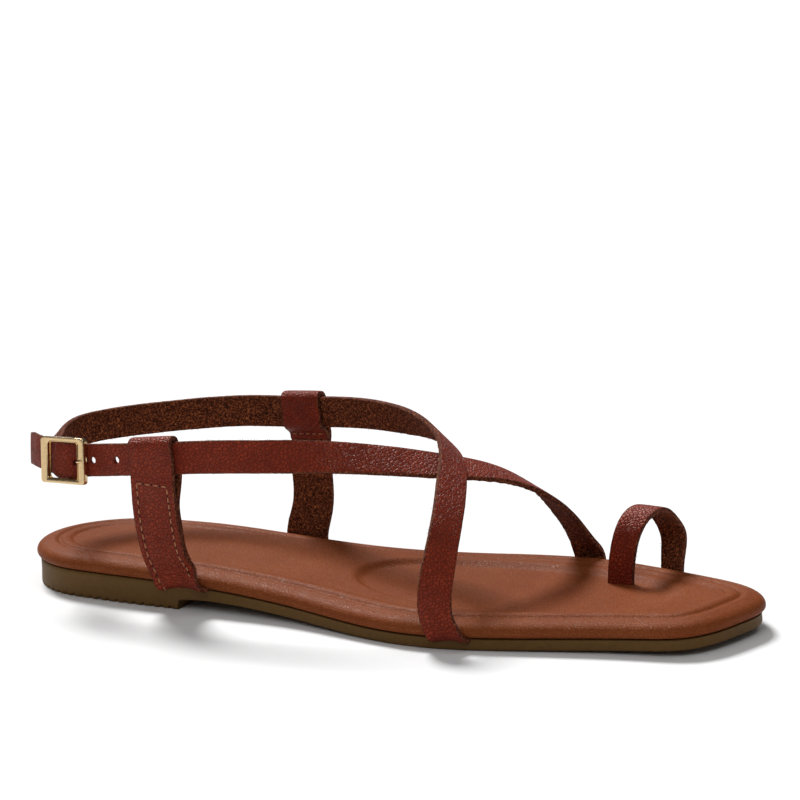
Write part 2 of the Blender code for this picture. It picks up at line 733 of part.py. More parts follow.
def main():
    for old in list(bpy.data.objects):
        bpy.data.objects.remove(old, do_unlink=True)
    rubber = material("moulded_rubber", (0.052, 0.030, 0.012), 0.62)
    tan = material("tan_lining_leather", (0.270, 0.072, 0.026), 0.42)
    brown = material("brown_strap_leather", (0.090, 0.018, 0.010), 0.50)
    gold = material("pale_gold_plating", (0.860, 0.640, 0.330), 0.22, 1.0)
    outsole = make_outsole(rubber)
    footbed = make_footbed(tan)

    under, place, middle = under_strap_frames()
    over = over_strap_frames(under, place, middle)
    straps = ribbon("crossed_straps", over, STRAP_WIDTH, brown)
    combine(straps, ribbon("under_strap_shape", under, STRAP_WIDTH), "UNION")
    bar = bar_middle(place)
    eye = rod("eye", bar - place.up * 7 * MM, bar + place.up * 7 * MM, BAR_RADIUS + FIT_GAP)
    combine(straps, eye, "DIFFERENCE")
    slot_width = 2 * (PRONG_RADIUS + FIT_GAP)
    loop = 2 * (BAR_RADIUS + FIT_GAP + 2 * PRONG_RADIUS + FIT_GAP)
    axes = (place.ahead, place.up, place.outward)
    slot = block("prong_slot", bar - place.outward * 0.2 * MM - place.up * PRONG_DROP, axes, (loop, slot_width, loop - 0.8 * MM))
    combine(straps, slot, "DIFFERENCE")
    path = prong_path(place)
    hole = tube("prong_hole", path[7:], PRONG_RADIUS, place.up, grow=FIT_GAP)
    combine(straps, hole, "DIFFERENCE")
    for k in range(2):
        punched = station(under, middle - PUNCH_START - k * PUNCH_PITCH)
        ends = [punched.centre + punched.outward * out * MM for out in (-4, 2)]
        combine(straps, rod(f"punch_{k + 1}", *ends, PUNCH_RADIUS), "DIFFERENCE")

    frame = make_buckle(place, gold)
    combine(frame, tube("prong_rest", path[7:], PRONG_RADIUS, place.up, grow=FIT_GAP), "DIFFERENCE")
    tube("buckle_prong", path, PRONG_RADIUS, place.up, gold)

    toe = toe_loop_frames()
    ribbon("toe_loop", toe, TOE_STRAP_WIDTH, brown)

    held = distance_at(under, LATERAL_KEEPER_ALONG * LENGTH - HEEL_SEAT)
    near = keeper_frames(station(under, held), tuck_rows(0.268, True, 30), LATERAL_LEG)
    lateral = ribbon("lateral_keeper", near, LATERAL_KEEPER_WIDTH, brown)
    combine(lateral, passage("under_strap_way", under, held), "DIFFERENCE")

    held = distance_at(over, MEDIAL_KEEPER_ALONG * LENGTH - HEEL_SEAT)
    far = keeper_frames(station(over, held), tuck_rows(0.326, False, 0), MEDIAL_LEG)
    medial = ribbon("medial_keeper", far, MEDIAL_KEEPER_WIDTH, brown)
    combine(medial, passage("over_strap_way", over, held), "DIFFERENCE")

    tucks = (
        ("over_pocket", over, STRAP_WIDTH),
        ("under_pocket", under, STRAP_WIDTH),
        ("toe_pocket", part_of(toe, None, None, -1), TOE_STRAP_WIDTH),
        ("lateral_pocket", near, LATERAL_KEEPER_WIDTH),
        ("medial_pocket", far, MEDIAL_KEEPER_WIDTH),
    )
    for name, frames, width in tucks:
        clear = int(np.argmax(frames.centre[:, 2] > frames.centre[0, 2] + 14 * MM))
        pocket = ribbon(name, part_of(frames, 0, clear), width, grow=FIT_GAP)
        combine(footbed, pocket, "DIFFERENCE")
        combine(outsole, pocket, "DIFFERENCE")
    slit = part_of(toe, 0, 5)
    slit.centre[0] = slit.centre[0] - slit.ahead[0] * 2 * MM
    combine(footbed, ribbon("toe_slit", slit, TOE_STRAP_WIDTH, grow=FIT_GAP), "DIFFERENCE")


main()
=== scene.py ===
"""Toe loop sandal, right shoe: leather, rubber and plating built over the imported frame, in a pale studio.

Metres, +Z up, +X to the toe, +Y to the medial side, in the frame's own axes.
"""

from collections import namedtuple
import json
import math

import bmesh
import bpy
import numpy as np
from bpy.props import FloatProperty, FloatVectorProperty, IntProperty, PointerProperty
from bpy.types import Operator, Panel, PropertyGroup
from mathutils import Matrix

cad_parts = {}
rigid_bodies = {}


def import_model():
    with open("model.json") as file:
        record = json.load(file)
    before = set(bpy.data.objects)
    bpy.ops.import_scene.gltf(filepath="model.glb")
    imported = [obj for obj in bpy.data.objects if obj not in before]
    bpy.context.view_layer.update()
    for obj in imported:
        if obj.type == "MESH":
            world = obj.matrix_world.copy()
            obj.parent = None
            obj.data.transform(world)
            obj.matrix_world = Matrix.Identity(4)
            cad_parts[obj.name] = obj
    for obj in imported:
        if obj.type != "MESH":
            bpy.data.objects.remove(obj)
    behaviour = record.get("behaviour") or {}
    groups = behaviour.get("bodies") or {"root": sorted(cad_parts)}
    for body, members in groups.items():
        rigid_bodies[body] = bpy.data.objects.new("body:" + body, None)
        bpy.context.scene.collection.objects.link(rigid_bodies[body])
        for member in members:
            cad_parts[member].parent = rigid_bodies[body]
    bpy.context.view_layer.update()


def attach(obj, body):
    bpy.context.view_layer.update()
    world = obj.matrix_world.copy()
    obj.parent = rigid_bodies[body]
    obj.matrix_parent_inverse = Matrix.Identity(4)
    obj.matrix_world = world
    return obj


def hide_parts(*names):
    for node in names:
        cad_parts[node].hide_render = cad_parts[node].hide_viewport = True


bl_info = {
    "name": "Toe loop sandal",
    "version": (1, 0, 0),
    "blender": (4, 5, 0),
    "location": "3D View > Sidebar > Sandal",
    "description": "Builds a flat leather sandal with crossed straps, keepers, a toe loop and a buckle",
    "category": "Add Mesh",
}

for old in list(bpy.data.objects):
    bpy.data.objects.remove(old, do_unlink=True)
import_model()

MM = 0.001
BODY = "root"

# Sole and footbed sizes, as in the frame
LENGTH = 250 * MM
BALL_WIDTH = 89 * MM
HEEL_WIDTH = 57.5 * MM
HEEL_ROUND = 32 * MM
HEEL_SEAT = 30 * MM
HEEL_SOLE = 8.8 * MM
FORE_SOLE = 3.6 * MM
TOE_SPRING = 2.4 * MM
HEEL_BREAST = 66 * MM
BREAST_RUN = 0.4 * MM
BREAST_BLEND = 1.8 * MM
FOOTBED_RISE = 5.9 * MM
FOOTBED_OVERHANG = 1.1 * MM
FOOTBED_ROLL = 6.5 * MM
FOOTBED_BAND = 3.3 * MM
BAND_GROOVE = 0.4 * MM
HEEL_DISH = 0.9 * MM
FORE_DISH = 1.7 * MM
ARCH_SWELL = 1.6 * MM

# Strap and keeper sizes, as in the frame
STRAP_WIDTH = 10.5 * MM
STRAP_THICK = 1.8 * MM
INSTEP_RISE = 55 * MM
LATERAL_KEEPER_WIDTH = 15.6 * MM
MEDIAL_KEEPER_WIDTH = 14.2 * MM
KEEPER_THICK = 1.7 * MM
TOE_STRAP_WIDTH = 8.8 * MM
TOE_LOOP_RISE = 30 * MM
TUCK_REACH = 13 * MM
TUCK_SINK = 0.8 * MM
TUCK_BEND = 3.2 * MM
RIM_PRESS = 0.5 * MM
FIT_GAP = 0.3 * MM
FRAME_PITCH = 1.0 * MM

# Buckle sizes, as in the frame
BUCKLE_LENGTH = 18.6 * MM
BUCKLE_HEIGHT = 15.0 * MM
BUCKLE_THICK = 2.0 * MM
BUCKLE_OPENING = 12.8 * MM
BUCKLE_RAIL = 1.55 * MM
BUCKLE_DROP = 0.2 * MM
BUCKLE_CORNER = 1.1 * MM
BAR_RADIUS = 0.65 * MM
FOLD_THICK = 1.0 * MM
STRAP_HUMP = 0.8 * MM
FOLD_DROP = 1.5 * MM
STRAP_BULGE = 1.55 * MM
STRAP_SWELL = 0.45 * MM
PRONG_RADIUS = 0.55 * MM
PRONG_DROP = 0.8 * MM
PUNCH_RADIUS = 1.0 * MM
PUNCH_START = 11.0 * MM
PUNCH_PITCH = 10.2 * MM

# Outline of the sole: along is a share of the length, the others are shares of the ball width.
Side = namedtuple("Side", "along lateral medial")
SIDES = (
    Side(0.232, 0.342, 0.326),
    Side(0.340, 0.347, 0.325),
    Side(0.445, 0.380, 0.357),
    Side(0.550, 0.455, 0.438),
    Side(0.637, 0.484, 0.501),
    Side(0.720, 0.445, 0.520),
    Side(0.808, 0.376, 0.463),
    Side(0.896, 0.320, 0.366),
)
Toe = namedtuple("Toe", "along across")
TOE = (
    Toe(0.952, -0.271),
    Toe(0.979, -0.165),
    Toe(0.993, -0.039),
    Toe(1.000, 0.091),
    Toe(0.976, 0.226),
)
TOE_TIP = 3
HEEL_STEPS = 9
WAIST_START = 0.18
WAIST_END = 0.60
SPRING_START = 0.66
SPRING_POWER = 1.7

# Runs of the straps' outer faces: shares of length, ball width and rise, then the way the grain side faces.
Run = namedtuple("Run", "along across rise turn tilt")
OVER_STRAP = (
    Run(0.662, -0.513, 0.334, -66, 8),
    Run(0.662, -0.455, 0.515, -42, 16),
    Run(0.653, -0.330, 0.706, -27, 31),
    Run(0.634, -0.177, 0.847, -14, 41),
    Run(0.610, -0.028, 0.933, 3, 42),
    Run(0.577, 0.099, 0.982, 31, 43),
    Run(0.531, 0.209, 1.007, 54, 35),
    Run(0.474, 0.289, 1.009, 68, 19),
    Run(0.403, 0.350, 0.998, 80, 9),
    Run(0.320, 0.392, 0.965, 86, 5),
    Run(0.220, 0.396, 0.939, 92, 2),
    Run(0.120, 0.355, 0.889, 108, 1),
    Run(0.053, 0.260, 0.859, 130, 1),
    Run(0.022, 0.124, 0.841, 158, 2),
    Run(0.029, -0.028, 0.825, 190, 2),
    Run(0.051, -0.171, 0.827, 218, 1),
)
UNDER_STRAP = (
    Run(0.701, 0.506, 0.289, 72, 6),
    Run(0.690, 0.429, 0.458, 66, 26),
    Run(0.680, 0.292, 0.634, 52, 46),
    Run(0.655, 0.138, 0.780, 19, 62),
    Run(0.619, -0.040, 0.875, -25, 60),
    Run(0.561, -0.196, 0.942, -66, 48),
    Run(0.494, -0.316, 0.982, -80, 34),
    Run(0.407, -0.387, 0.976, -86, 13),
    Run(0.320, -0.413, 0.951, -90, 0),
    Run(0.241, -0.409, 0.913, -92, 0),
    Run(0.161, -0.370, 0.869, -97, 2),
    Run(0.105, -0.346, 0.851, -101, 6),
    Run(0.061, -0.307, 0.860, -115, 6),
    Run(0.029, -0.241, 0.858, -136, 3),
)
TOE_LOOP = (
    Run(0.795, 0.218, 0.154, -96, 0),
    Run(0.796, 0.216, 0.354, -93, 0),
    Run(0.799, 0.221, 0.620, -94, 4),
    Run(0.804, 0.243, 0.850, -92, 23),
    Run(0.811, 0.300, 1.007, -89, 58),
    Run(0.820, 0.384, 1.017, 88, 80),
    Run(0.826, 0.455, 0.864, 84, 35),
    Run(0.831, 0.501, 0.620, 88, 7),
)
LATERAL_LEG = (
    Run(0.2585, -0.392, 0.320, -92, -7),
    Run(0.2543, -0.403, 0.430, -92, -6),
    Run(0.2522, -0.412, 0.545, -92, -5),
    Run(0.2515, -0.418, 0.650, -92, -4),
)
MEDIAL_LEG = (
    Run(0.329, 0.380, 0.360, 89, -7),
    Run(0.329, 0.393, 0.560, 88, -4),
    Run(0.326, 0.408, 0.775, 87, -2),
)
BUCKLE_ALONG = 0.109
LATERAL_KEEPER_ALONG = 0.254
MEDIAL_KEEPER_ALONG = 0.322
MEDIAL_FLAP = 9.4 * MM
KEEPER_EASE = 0.8 * MM

# The photograph's camera, from its fitted place and axes
CAMERA_PLACE = (0.5385, -0.8671, 0.2649)
CAMERA_RIGHT = (0.8960, 0.4431, -0.0306)
CAMERA_UP = (-0.0618, 0.1925, 0.9793)
CAMERA_BACK = (0.4398, -0.8756, 0.1999)
CAMERA_LENS = 141.03

# Sun lights of the studio: where each stands, how wide its disc is in degrees, and its strength
Light = namedtuple("Light", "name offset spread power")
LIGHTS = (
    Light("key_light", (-0.72, 0.64, 1.16), 18, 4.2),
    Light("top_light", (0.30, -0.10, 1.30), 60, 0.60),
    Light("fill_light", (0.10, -1.05, 0.95), 35, 0.5),
)
SKY_SEEN = 0.80
SKY_ROUND = 0.15
SKY_IN_GLOSS = 0.08
FLOOR_REACH = 6.0

# Leather grain: pebble width, relief, roughness, gloss, and the width of the clouds in the dye
Grain = namedtuple("Grain", "pebble relief roughness gloss cloud")
STRAP_GRAIN = Grain(1.15 * MM, 0.32 * MM, 0.52, 0.27, 7 * MM)
LINING_GRAIN = Grain(0.8 * MM, 0.08 * MM, 0.42, 0.05, 22 * MM)

# Outer edge of the outsole from the tread up, in millimetres, and each row's share of the heel's notches
SoleRow = namedtuple("SoleRow", "inset rise notched")
SOLE_ROWS = (
    SoleRow(0.60, 0.0, 0.6),
    SoleRow(0.18, 0.16, 0.9),
    SoleRow(0.0, 0.55, 1.0),
    SoleRow(0.0, 0.9, 1.0),
    SoleRow(0.0, 1.1, 0.0),
    SoleRow(0.02, 1.5, 0.0),
)
SOLE_WALL_START = 1.8 * MM
SOLE_BOW = 0.14 * MM

# Cut edges, loose fibres, punched holes and stitches
EDGE_DEPTH = 0.34 * MM
LEAF_GROOVE = 0.30 * MM
FIBRE_WIDTH = 0.09 * MM
PUNCH_LEAN = 0.22
PUNCH_GROWTH = 1.2
STITCH_SINK = 0.12 * MM
STITCH_LIFT = 0.02 * MM
STITCH_PRESS = 0.16 * MM

Frames = namedtuple("Frames", "centre grain ahead thick")
Place = namedtuple("Place", "centre ahead up outward")


def linear(code):
    """A linear colour from an sRGB hex code."""
    values = [int(code[i : i + 2], 16) / 255 for i in (1, 3, 5)]
    return tuple(v / 12.92 if v <= 0.04045 else ((v + 0.055) / 1.055) ** 2.4 for v in values)


# Geometry shared with the frame


def lerp(a, b, share):
    return a + (b - a) * share


def smoothstep(value):
    value = np.clip(value, 0.0, 1.0)
    return value * value * (3 - 2 * value)


def unit(vectors):
    vectors = np.asarray(vectors, float)
    return vectors / np.linalg.norm(vectors, axis=-1, keepdims=True)


def cubic(knots, values, at, closed=False):
    """Values and slopes at the given places of a smooth curve through rows of values."""
    count = len(knots)
    step = np.diff(knots)
    rise = np.diff(values, axis=0) / step[:, None]
    system = np.eye(count)
    known = np.zeros((count, values.shape[1]))
    for i in range(1, count - 1):
        system[i, i - 1 : i + 2] = step[i - 1], 2 * (step[i - 1] + step[i]), step[i]
        known[i] = 6 * (rise[i] - rise[i - 1])
    if closed:
        system[0, 0] = 2 * (step[0] + step[-1])
        system[0, 1], system[0, count - 2] = step[0], step[-1]
        known[0] = 6 * (rise[0] - rise[-1])
        system[-1, 0] = -1
    bend = np.linalg.solve(system, known)
    span = np.clip(np.searchsorted(knots, at, side="right") - 1, 0, count - 2)
    width = step[span][:, None]
    left = (knots[span + 1] - at)[:, None]
    right = (at - knots[span])[:, None]
    point = (
        bend[span] * left**3 / (6 * width)
        + bend[span + 1] * right**3 / (6 * width)
        + (values[span] / width - bend[span] * width / 6) * left
        + (values[span + 1] / width - bend[span + 1] * width / 6) * right
    )
    slope = (
        -bend[span] * left**2 / (2 * width)
        + bend[span + 1] * right**2 / (2 * width)
        + rise[span]
        - (bend[span + 1] - bend[span]) * width / 6
    )
    return point, slope


def chord(points):
    """Distance along a chain of points."""
    return np.r_[0.0, np.cumsum(np.linalg.norm(np.diff(points, axis=0), axis=1))]


def outline_curve():
    """The closed outline as dense 2D points from the back of the heel round the lateral side."""
    turn = np.linspace(-math.pi / 2, math.pi / 2, HEEL_STEPS)
    heel = np.c_[HEEL_ROUND * (1 - np.cos(turn)), HEEL_WIDTH / 2 * np.sin(turn)]
    back = HEEL_STEPS // 2
    lateral = [(row.along * LENGTH, -row.lateral * BALL_WIDTH) for row in SIDES]
    medial = [(row.along * LENGTH, row.medial * BALL_WIDTH) for row in reversed(SIDES)]
    toe = [(row.along * LENGTH, row.across * BALL_WIDTH) for row in TOE]
    knots = np.vstack([heel[back::-1], lateral, toe, medial, heel[:back:-1], heel[back : back + 1]])
    knots[:, 0] -= HEEL_SEAT
    run = chord(knots)
    places = np.linspace(0, run[-1], 1601)
    curve, slope = cubic(run, knots, places, closed=True)
    out = unit(np.c_[slope[:, 1], -slope[:, 0]])
    tip = run[back + 1 + len(SIDES) + TOE_TIP]
    return places, curve, out, tip


OUTLINE = outline_curve()


def side_place(x, lateral):
    """Distance round the outline at which one side has this x."""
    places, curve, _, tip = OUTLINE
    column = np.where(places < tip if lateral else places > tip)[0]
    return places[column[np.argmin(np.abs(curve[column, 0] - x))]]


def outline_ring(rear_rungs, fore_rungs):
    """A ring of outline points and outward directions: heel tip, lateral rungs, toe tip, medial rungs."""
    places, curve, out, tip = OUTLINE
    breast = HEEL_BREAST - HEEL_SEAT
    stops = []
    for lateral in (True, False):
        rear = side_place(breast, lateral)
        fore = side_place(breast + BREAST_RUN, lateral)
        start = 0.0 if lateral else places[-1]
        first = np.linspace(start, rear, rear_rungs + 1)[1:]
        second = np.linspace(fore, tip, fore_rungs + 1)[:-1]
        stops.append(np.r_[first, second])
    ring = np.r_[0.0, stops[0], tip, stops[1][::-1]]
    point = np.c_[np.interp(ring, places, curve[:, 0]), np.interp(ring, places, curve[:, 1])]
    away = unit(np.c_[np.interp(ring, places, out[:, 0]), np.interp(ring, places, out[:, 1])])
    away[0] = (-1.0, 0.0)
    return ring, point, away


def sole_top(x):
    """Height of the seam between outsole and footbed."""
    x = np.asarray(x, float) + HEEL_SEAT
    waist = smoothstep((x - WAIST_START * LENGTH) / ((WAIST_END - WAIST_START) * LENGTH))
    spring = np.clip((x - SPRING_START * LENGTH) / ((1 - SPRING_START) * LENGTH), 0, 1.2)
    return lerp(HEEL_SOLE, FORE_SOLE, waist) + TOE_SPRING * spring**SPRING_POWER


def sole_bottom(x):
    """The heel block and the ball stand on the floor, and the waist and the toe are clear of it."""
    past = np.asarray(x, float) + HEEL_SEAT - HEEL_BREAST
    blend = BREAST_BLEND * np.exp(-np.maximum(past, 0) / (4 * BREAST_BLEND))
    return np.where(past < BREAST_RUN / 2, 0.0, sole_top(x) - FORE_SOLE - blend)


def footbed_top(x, y):
    """Height of the footbed's inner face above the seam, with its dishes, arch and moulded forefoot."""
    along = (np.asarray(x, float) + HEEL_SEAT) / LENGTH
    across = np.asarray(y, float) / BALL_WIDTH
    heel = np.exp(-(((along - 0.14) / 0.13) ** 2) - (across / 0.20) ** 2)
    arch = np.exp(-(((along - 0.40) / 0.10) ** 2) - ((across - 0.26) / 0.15) ** 2)
    oval = np.hypot((along - 0.685) / 0.225, (across - 0.02) / 0.34)
    rear = np.clip((0.60 - along) / 0.12, 0, 1)
    dish = smoothstep((1.0 - oval) / lerp(0.15, 0.060, rear))
    return FOOTBED_RISE - BAND_GROOVE - HEEL_DISH * heel + ARCH_SWELL * arch - FORE_DISH * dish


def direction(turn, tilt):
    turn, tilt = math.radians(turn), math.radians(tilt)
    return (math.cos(turn) * math.cos(tilt), math.sin(turn) * math.cos(tilt), math.sin(tilt))


def free_rows(table, rise):
    """Points and grain directions of a table of runs."""
    points = [(r.along * LENGTH - HEEL_SEAT, r.across * BALL_WIDTH, r.rise * rise) for r in table]
    return np.array(points), np.array([direction(r.turn, r.tilt) for r in table])


def tuck_rows(along, lateral, skew):
    """Rows that carry a strap from under the footbed out and up round its rim, inner end first."""
    places, curve, out, _ = OUTLINE
    start = side_place(along * LENGTH - HEEL_SEAT, lateral)
    lean = math.tan(math.radians(skew))
    low = float(sole_top(along * LENGTH - HEEL_SEAT)) - TUCK_SINK
    reach_out = FOOTBED_OVERHANG + STRAP_THICK - RIM_PRESS
    points, faces = [], []
    for degrees, hidden in ((0, 1.0), (0, 0.6), (0, 0.25), (0, 0), (30, 0), (60, 0), (90, 0), (90, -0.12)):
        a = math.radians(degrees)
        flat = TUCK_REACH * max(hidden, 0)
        above = TUCK_REACH * max(-hidden, 0)
        shift = lean * (flat + TUCK_BEND * (math.pi / 2 - a) - above)
        place = start + (shift if lateral else -shift)
        edge = np.array([np.interp(place, places, curve[:, i]) for i in (0, 1)])
        away = unit([np.interp(place, places, out[:, i]) for i in (0, 1)])
        out_by = reach_out - TUCK_BEND * (1 - math.sin(a)) - flat
        points.append((*(edge + away * out_by), low + TUCK_BEND * (1 - math.cos(a)) + above))
        faces.append((*(away * math.sin(a)), -math.cos(a)))
    return np.array(points), np.array(faces, float)


def joined(*rows):
    """Rows of points and grain directions end to end."""
    return np.vstack([r[0] for r in rows]), np.vstack([r[1] for r in rows])


def strap_frames(points, faces, thick=None):
    """Smooth frames through rows: the middle of the outer face and its axes, and the thickness."""
    run = chord(points)
    steps = []
    for start, end in zip(run, run[1:]):
        steps.append(np.linspace(start, end, 1 + int((end - start) / FRAME_PITCH), endpoint=False))
    places = np.concatenate([*steps, run[-1:]])
    both, slope = cubic(run, np.hstack([points, unit(faces)]), places)
    ahead = unit(slope[:, :3])
    grain = both[:, 3:]
    grain = unit(grain - (grain * ahead).sum(1, keepdims=True) * ahead)
    rows = np.full(len(run), STRAP_THICK) if thick is None else np.array(thick)
    return Frames(both[:, :3], grain, ahead, np.interp(places, run, rows))


def rounded_end(frames, radius, degrees):
    """The frames with a rounded end added, of this radius in the thickness."""
    centre, grain, ahead, thick = (values[-1] for values in frames)
    extra = []
    for angle in degrees:
        a = math.radians(angle)
        inset = radius * (1 - math.cos(a))
        extra.append((centre + ahead * radius * math.sin(a) - grain * inset, grain, ahead, thick - 2 * inset))
    return Frames(*(np.concatenate([values, np.array(more)]) for values, more in zip(frames, zip(*extra))))


def distance_at(frames, x):
    """Distance along a strap to where it first passes this x on its way to the heel."""
    run, along = chord(frames.centre), frames.centre[:, 0]
    passed = np.where((along[:-1] >= x) & (along[1:] < x))[0][0]
    return lerp(run[passed], run[passed + 1], (along[passed] - x) / (along[passed] - along[passed + 1]))


def station(frames, distance):
    """The middle of a strap's outer face and its axes at a distance along it: on, sideways and out."""
    run = chord(frames.centre)
    found = [
        np.array([np.interp(distance, run, values[:, i]) for i in range(3)])
        for values in (frames.centre, frames.grain, frames.ahead)
    ]
    outward = unit(found[1])
    ahead = unit(found[2] - (found[2] @ outward) * outward)
    return Place(found[0], ahead, np.cross(ahead, outward), outward)


def buckle_place(frames, middle):
    """The buckle lies flat on the strap, in line with the stretch in front of it."""
    here, before = station(frames, middle), station(frames, middle - 0.4 * BUCKLE_LENGTH)
    level = here.ahead + before.ahead
    ahead = unit(level - (level @ here.outward) * here.outward)
    up = np.cross(ahead, here.outward)
    up = up * np.sign(up[2])
    return Place(here.centre - up * BUCKLE_DROP, ahead, up, here.outward)


def under_strap_frames():
    """The under strap's frames, humped over the buckle's bar, and the buckle's place on it."""
    frames = strap_frames(*joined(tuck_rows(0.708, False, 8), free_rows(UNDER_STRAP, INSTEP_RISE)))
    run = chord(frames.centre)
    middle = distance_at(frames, BUCKLE_ALONG * LENGTH - HEEL_SEAT)
    place = buckle_place(frames, middle)
    away = np.clip((run - middle) / BUCKLE_OPENING, -0.5, 0.5)
    hump = STRAP_BULGE * np.cos(math.pi * away) ** 1.1
    lifted = frames.centre + hump[:, None] * place.outward
    forward = unit(np.gradient(lifted, axis=0))
    grain = unit(frames.grain - (frames.grain * forward).sum(1, keepdims=True) * forward)
    return Frames(lifted, grain, forward, frames.thick), place, middle


def bar_middle(place):
    """The middle of the buckle's bar, behind the hump of the strap that crosses it."""
    fold = BAR_RADIUS + FIT_GAP + FOLD_THICK
    return place.centre + place.outward * (STRAP_HUMP - STRAP_THICK - 1.5 * FIT_GAP - fold)


def over_strap_frames(under, place, middle):
    """The over strap ends in a fold round the buckle's bar, behind the under strap."""
    rows = joined(tuck_rows(0.666, True, 28), free_rows(OVER_STRAP, INSTEP_RISE))
    beside = station(under, middle + 0.42 * BUCKLE_LENGTH)
    depth = STRAP_THICK + FIT_GAP + 0.2 * MM
    fold = BAR_RADIUS + FIT_GAP + FOLD_THICK
    bar = bar_middle(place)
    points = [
        beside.centre - beside.outward * depth,
        bar + place.ahead * 1.3 * fold + place.outward * 0.86 * fold,
        bar + place.outward * fold,
    ]
    faces = [beside.outward, place.outward, place.outward]
    drops = FOLD_DROP * np.array([0.85, 1.3, 1.3])
    rows = joined(rows, (np.array(points) - drops[:, None] * place.up, np.array(faces)))
    folded = STRAP_THICK + FOLD_THICK
    thick = [STRAP_THICK] * (len(rows[0]) - 4) + [folded, folded, 1.5 * fold, 2 * fold]
    return rounded_end(strap_frames(*rows, thick), fold, (20, 40, 60, 78))


def crossed_frames():
    """Both straps' frames, the buckle's place and its distance along the under strap."""
    under, place, middle = under_strap_frames()
    return under, over_strap_frames(under, place, middle), place, middle


def toe_loop_frames():
    points, faces = tuck_rows(0.832, False, 0)
    return strap_frames(*joined(free_rows(TOE_LOOP, TOE_LOOP_RISE), (points[::-1], faces[::-1])))


def keeper_frames(place, tuck, table, flap):
    """A keeper as one band: up its leg, over the strap and down inside, to its flap's end or down the leg."""
    up = place.up * np.sign(place.up[2])
    outer = FIT_GAP + KEEPER_THICK
    half = STRAP_WIDTH / 2 + FIT_GAP
    bend = STRAP_THICK / 2 + outer
    crown = half + KEEPER_THICK - bend
    leg = free_rows(table, INSTEP_RISE)
    plumb = up if flap is not None else unit(np.array((0.0, 0.0, 1.0)) - place.outward[2] * place.outward)
    drops = (half + 2.4 * MM, half + 0.5 * MM, 0.0)
    rising = [place.centre + place.outward * outer - plumb * drop for drop in drops]
    arc, faces = [], []
    for degrees in (0, 45, 90, 135, 180):
        a = math.radians(degrees)
        out = place.outward * math.cos(a) + up * math.sin(a)
        arc.append(place.centre - place.outward * STRAP_THICK / 2 + up * crown + out * bend)
        faces.append(out)
    inside = place.centre - place.outward * (STRAP_THICK + outer)
    falling = [inside, inside - plumb * 0.92 * half]
    if flap is not None:
        for drop in (half + 2.0 * MM, flap):
            falling.append(place.centre - place.outward * (2 * KEEPER_THICK - outer) - up * drop)
    points = np.array(rising + arc + falling)
    grain = np.array([place.outward] * len(rising) + faces + [-place.outward] * len(falling))
    rows = joined(tuck, leg, (points, grain))
    thick = [KEEPER_THICK] * len(rows[0])
    if flap is None:
        foot = lerp(leg[0][:1], tuck[0][-1:], 0.45)
        last = joined((foot, leg[1][:1]), leg)
        thinned = KEEPER_THICK * np.array([0.30, 0.50, 0.70, 0.90, 0.95])
        back = last[0] - unit(last[1]) * (0.9 * KEEPER_THICK + thinned)[:, None]
        rows = joined(rows, (back[::-1], -last[1][::-1]))
        thick += list(thinned[::-1])
    return strap_frames(*rows, thick)


# Mesh and node helpers


def link_object(name, data, materials=()):
    made = bpy.data.objects.new(name, data)
    bpy.context.scene.collection.objects.link(made)
    for finish in materials:
        data.materials.append(finish)
    return made


def mesh_object(name, points, faces, materials=(), indices=None, smooth=40):
    """A mesh with its normals out, shaded smooth but for edges sharper than the given angle."""
    mesh = bpy.data.meshes.new(name)
    mesh.from_pydata([tuple(map(float, p)) for p in points], [], [tuple(map(int, f)) for f in faces])
    if indices is not None:
        mesh.polygons.foreach_set("material_index", np.asarray(indices, np.int32))
    shape = bmesh.new()
    shape.from_mesh(mesh)
    bmesh.ops.recalc_face_normals(shape, faces=shape.faces)
    shape.to_mesh(mesh)
    shape.free()
    mesh.shade_smooth()
    mesh.set_sharp_from_angle(angle=math.radians(smooth))
    return link_object(name, mesh, materials)


def tube_faces(rows, count, wrap_rows=False, start=0):
    """Quads between rings of the same count."""
    faces = []
    for k in range(rows if wrap_rows else rows - 1):
        low, high = start + k * count, start + (k + 1) % rows * count
        for i in range(count):
            j = (i + 1) % count
            faces.append((low + i, low + j, high + j, high + i))
    return faces


def add_node(tree, kind, settings=None, inputs=None):
    """Adds a node with its settings, and its inputs as values or as links from other nodes' sockets."""
    made = tree.nodes.new(kind)
    for key, value in (settings or {}).items():
        setattr(made, key, value)
    for key, value in (inputs or {}).items():
        if isinstance(value, bpy.types.NodeSocket):
            tree.links.new(value, made.inputs[key])
        else:
            made.inputs[key].default_value = value
    return made


def plain(obj):
    """The object with its modifiers made into a plain mesh."""
    graph = bpy.context.evaluated_depsgraph_get()
    mesh = bpy.data.meshes.new_from_object(obj.evaluated_get(graph), depsgraph=graph)
    old = obj.data
    obj.modifiers.clear()
    obj.data = mesh
    bpy.data.meshes.remove(old)
    return obj


def cut(obj, *cutters):
    """Exact Boolean cuts, made plain, with the cutters removed."""
    for cutter in cutters:
        change = obj.modifiers.new("cut", "BOOLEAN")
        change.operation = "DIFFERENCE"
        change.solver = "EXACT"
        change.object = cutter
    plain(obj)
    for cutter in cutters:
        bpy.data.objects.remove(cutter, do_unlink=True)
    return obj


def drift(count, pitch, seed):
    """A smooth random run of about plus or minus one, with a knot every few steps."""
    draws = np.random.default_rng(seed).uniform(-1, 1, count // pitch + 3)
    return np.interp(np.arange(count), np.arange(len(draws)) * pitch, draws)


def wander(count, seed):
    """How far a cut edge strays from straight, slowly and finely."""
    return 0.05 * MM * drift(count, 9, seed) + 0.03 * MM * drift(count, 1, seed + 2)


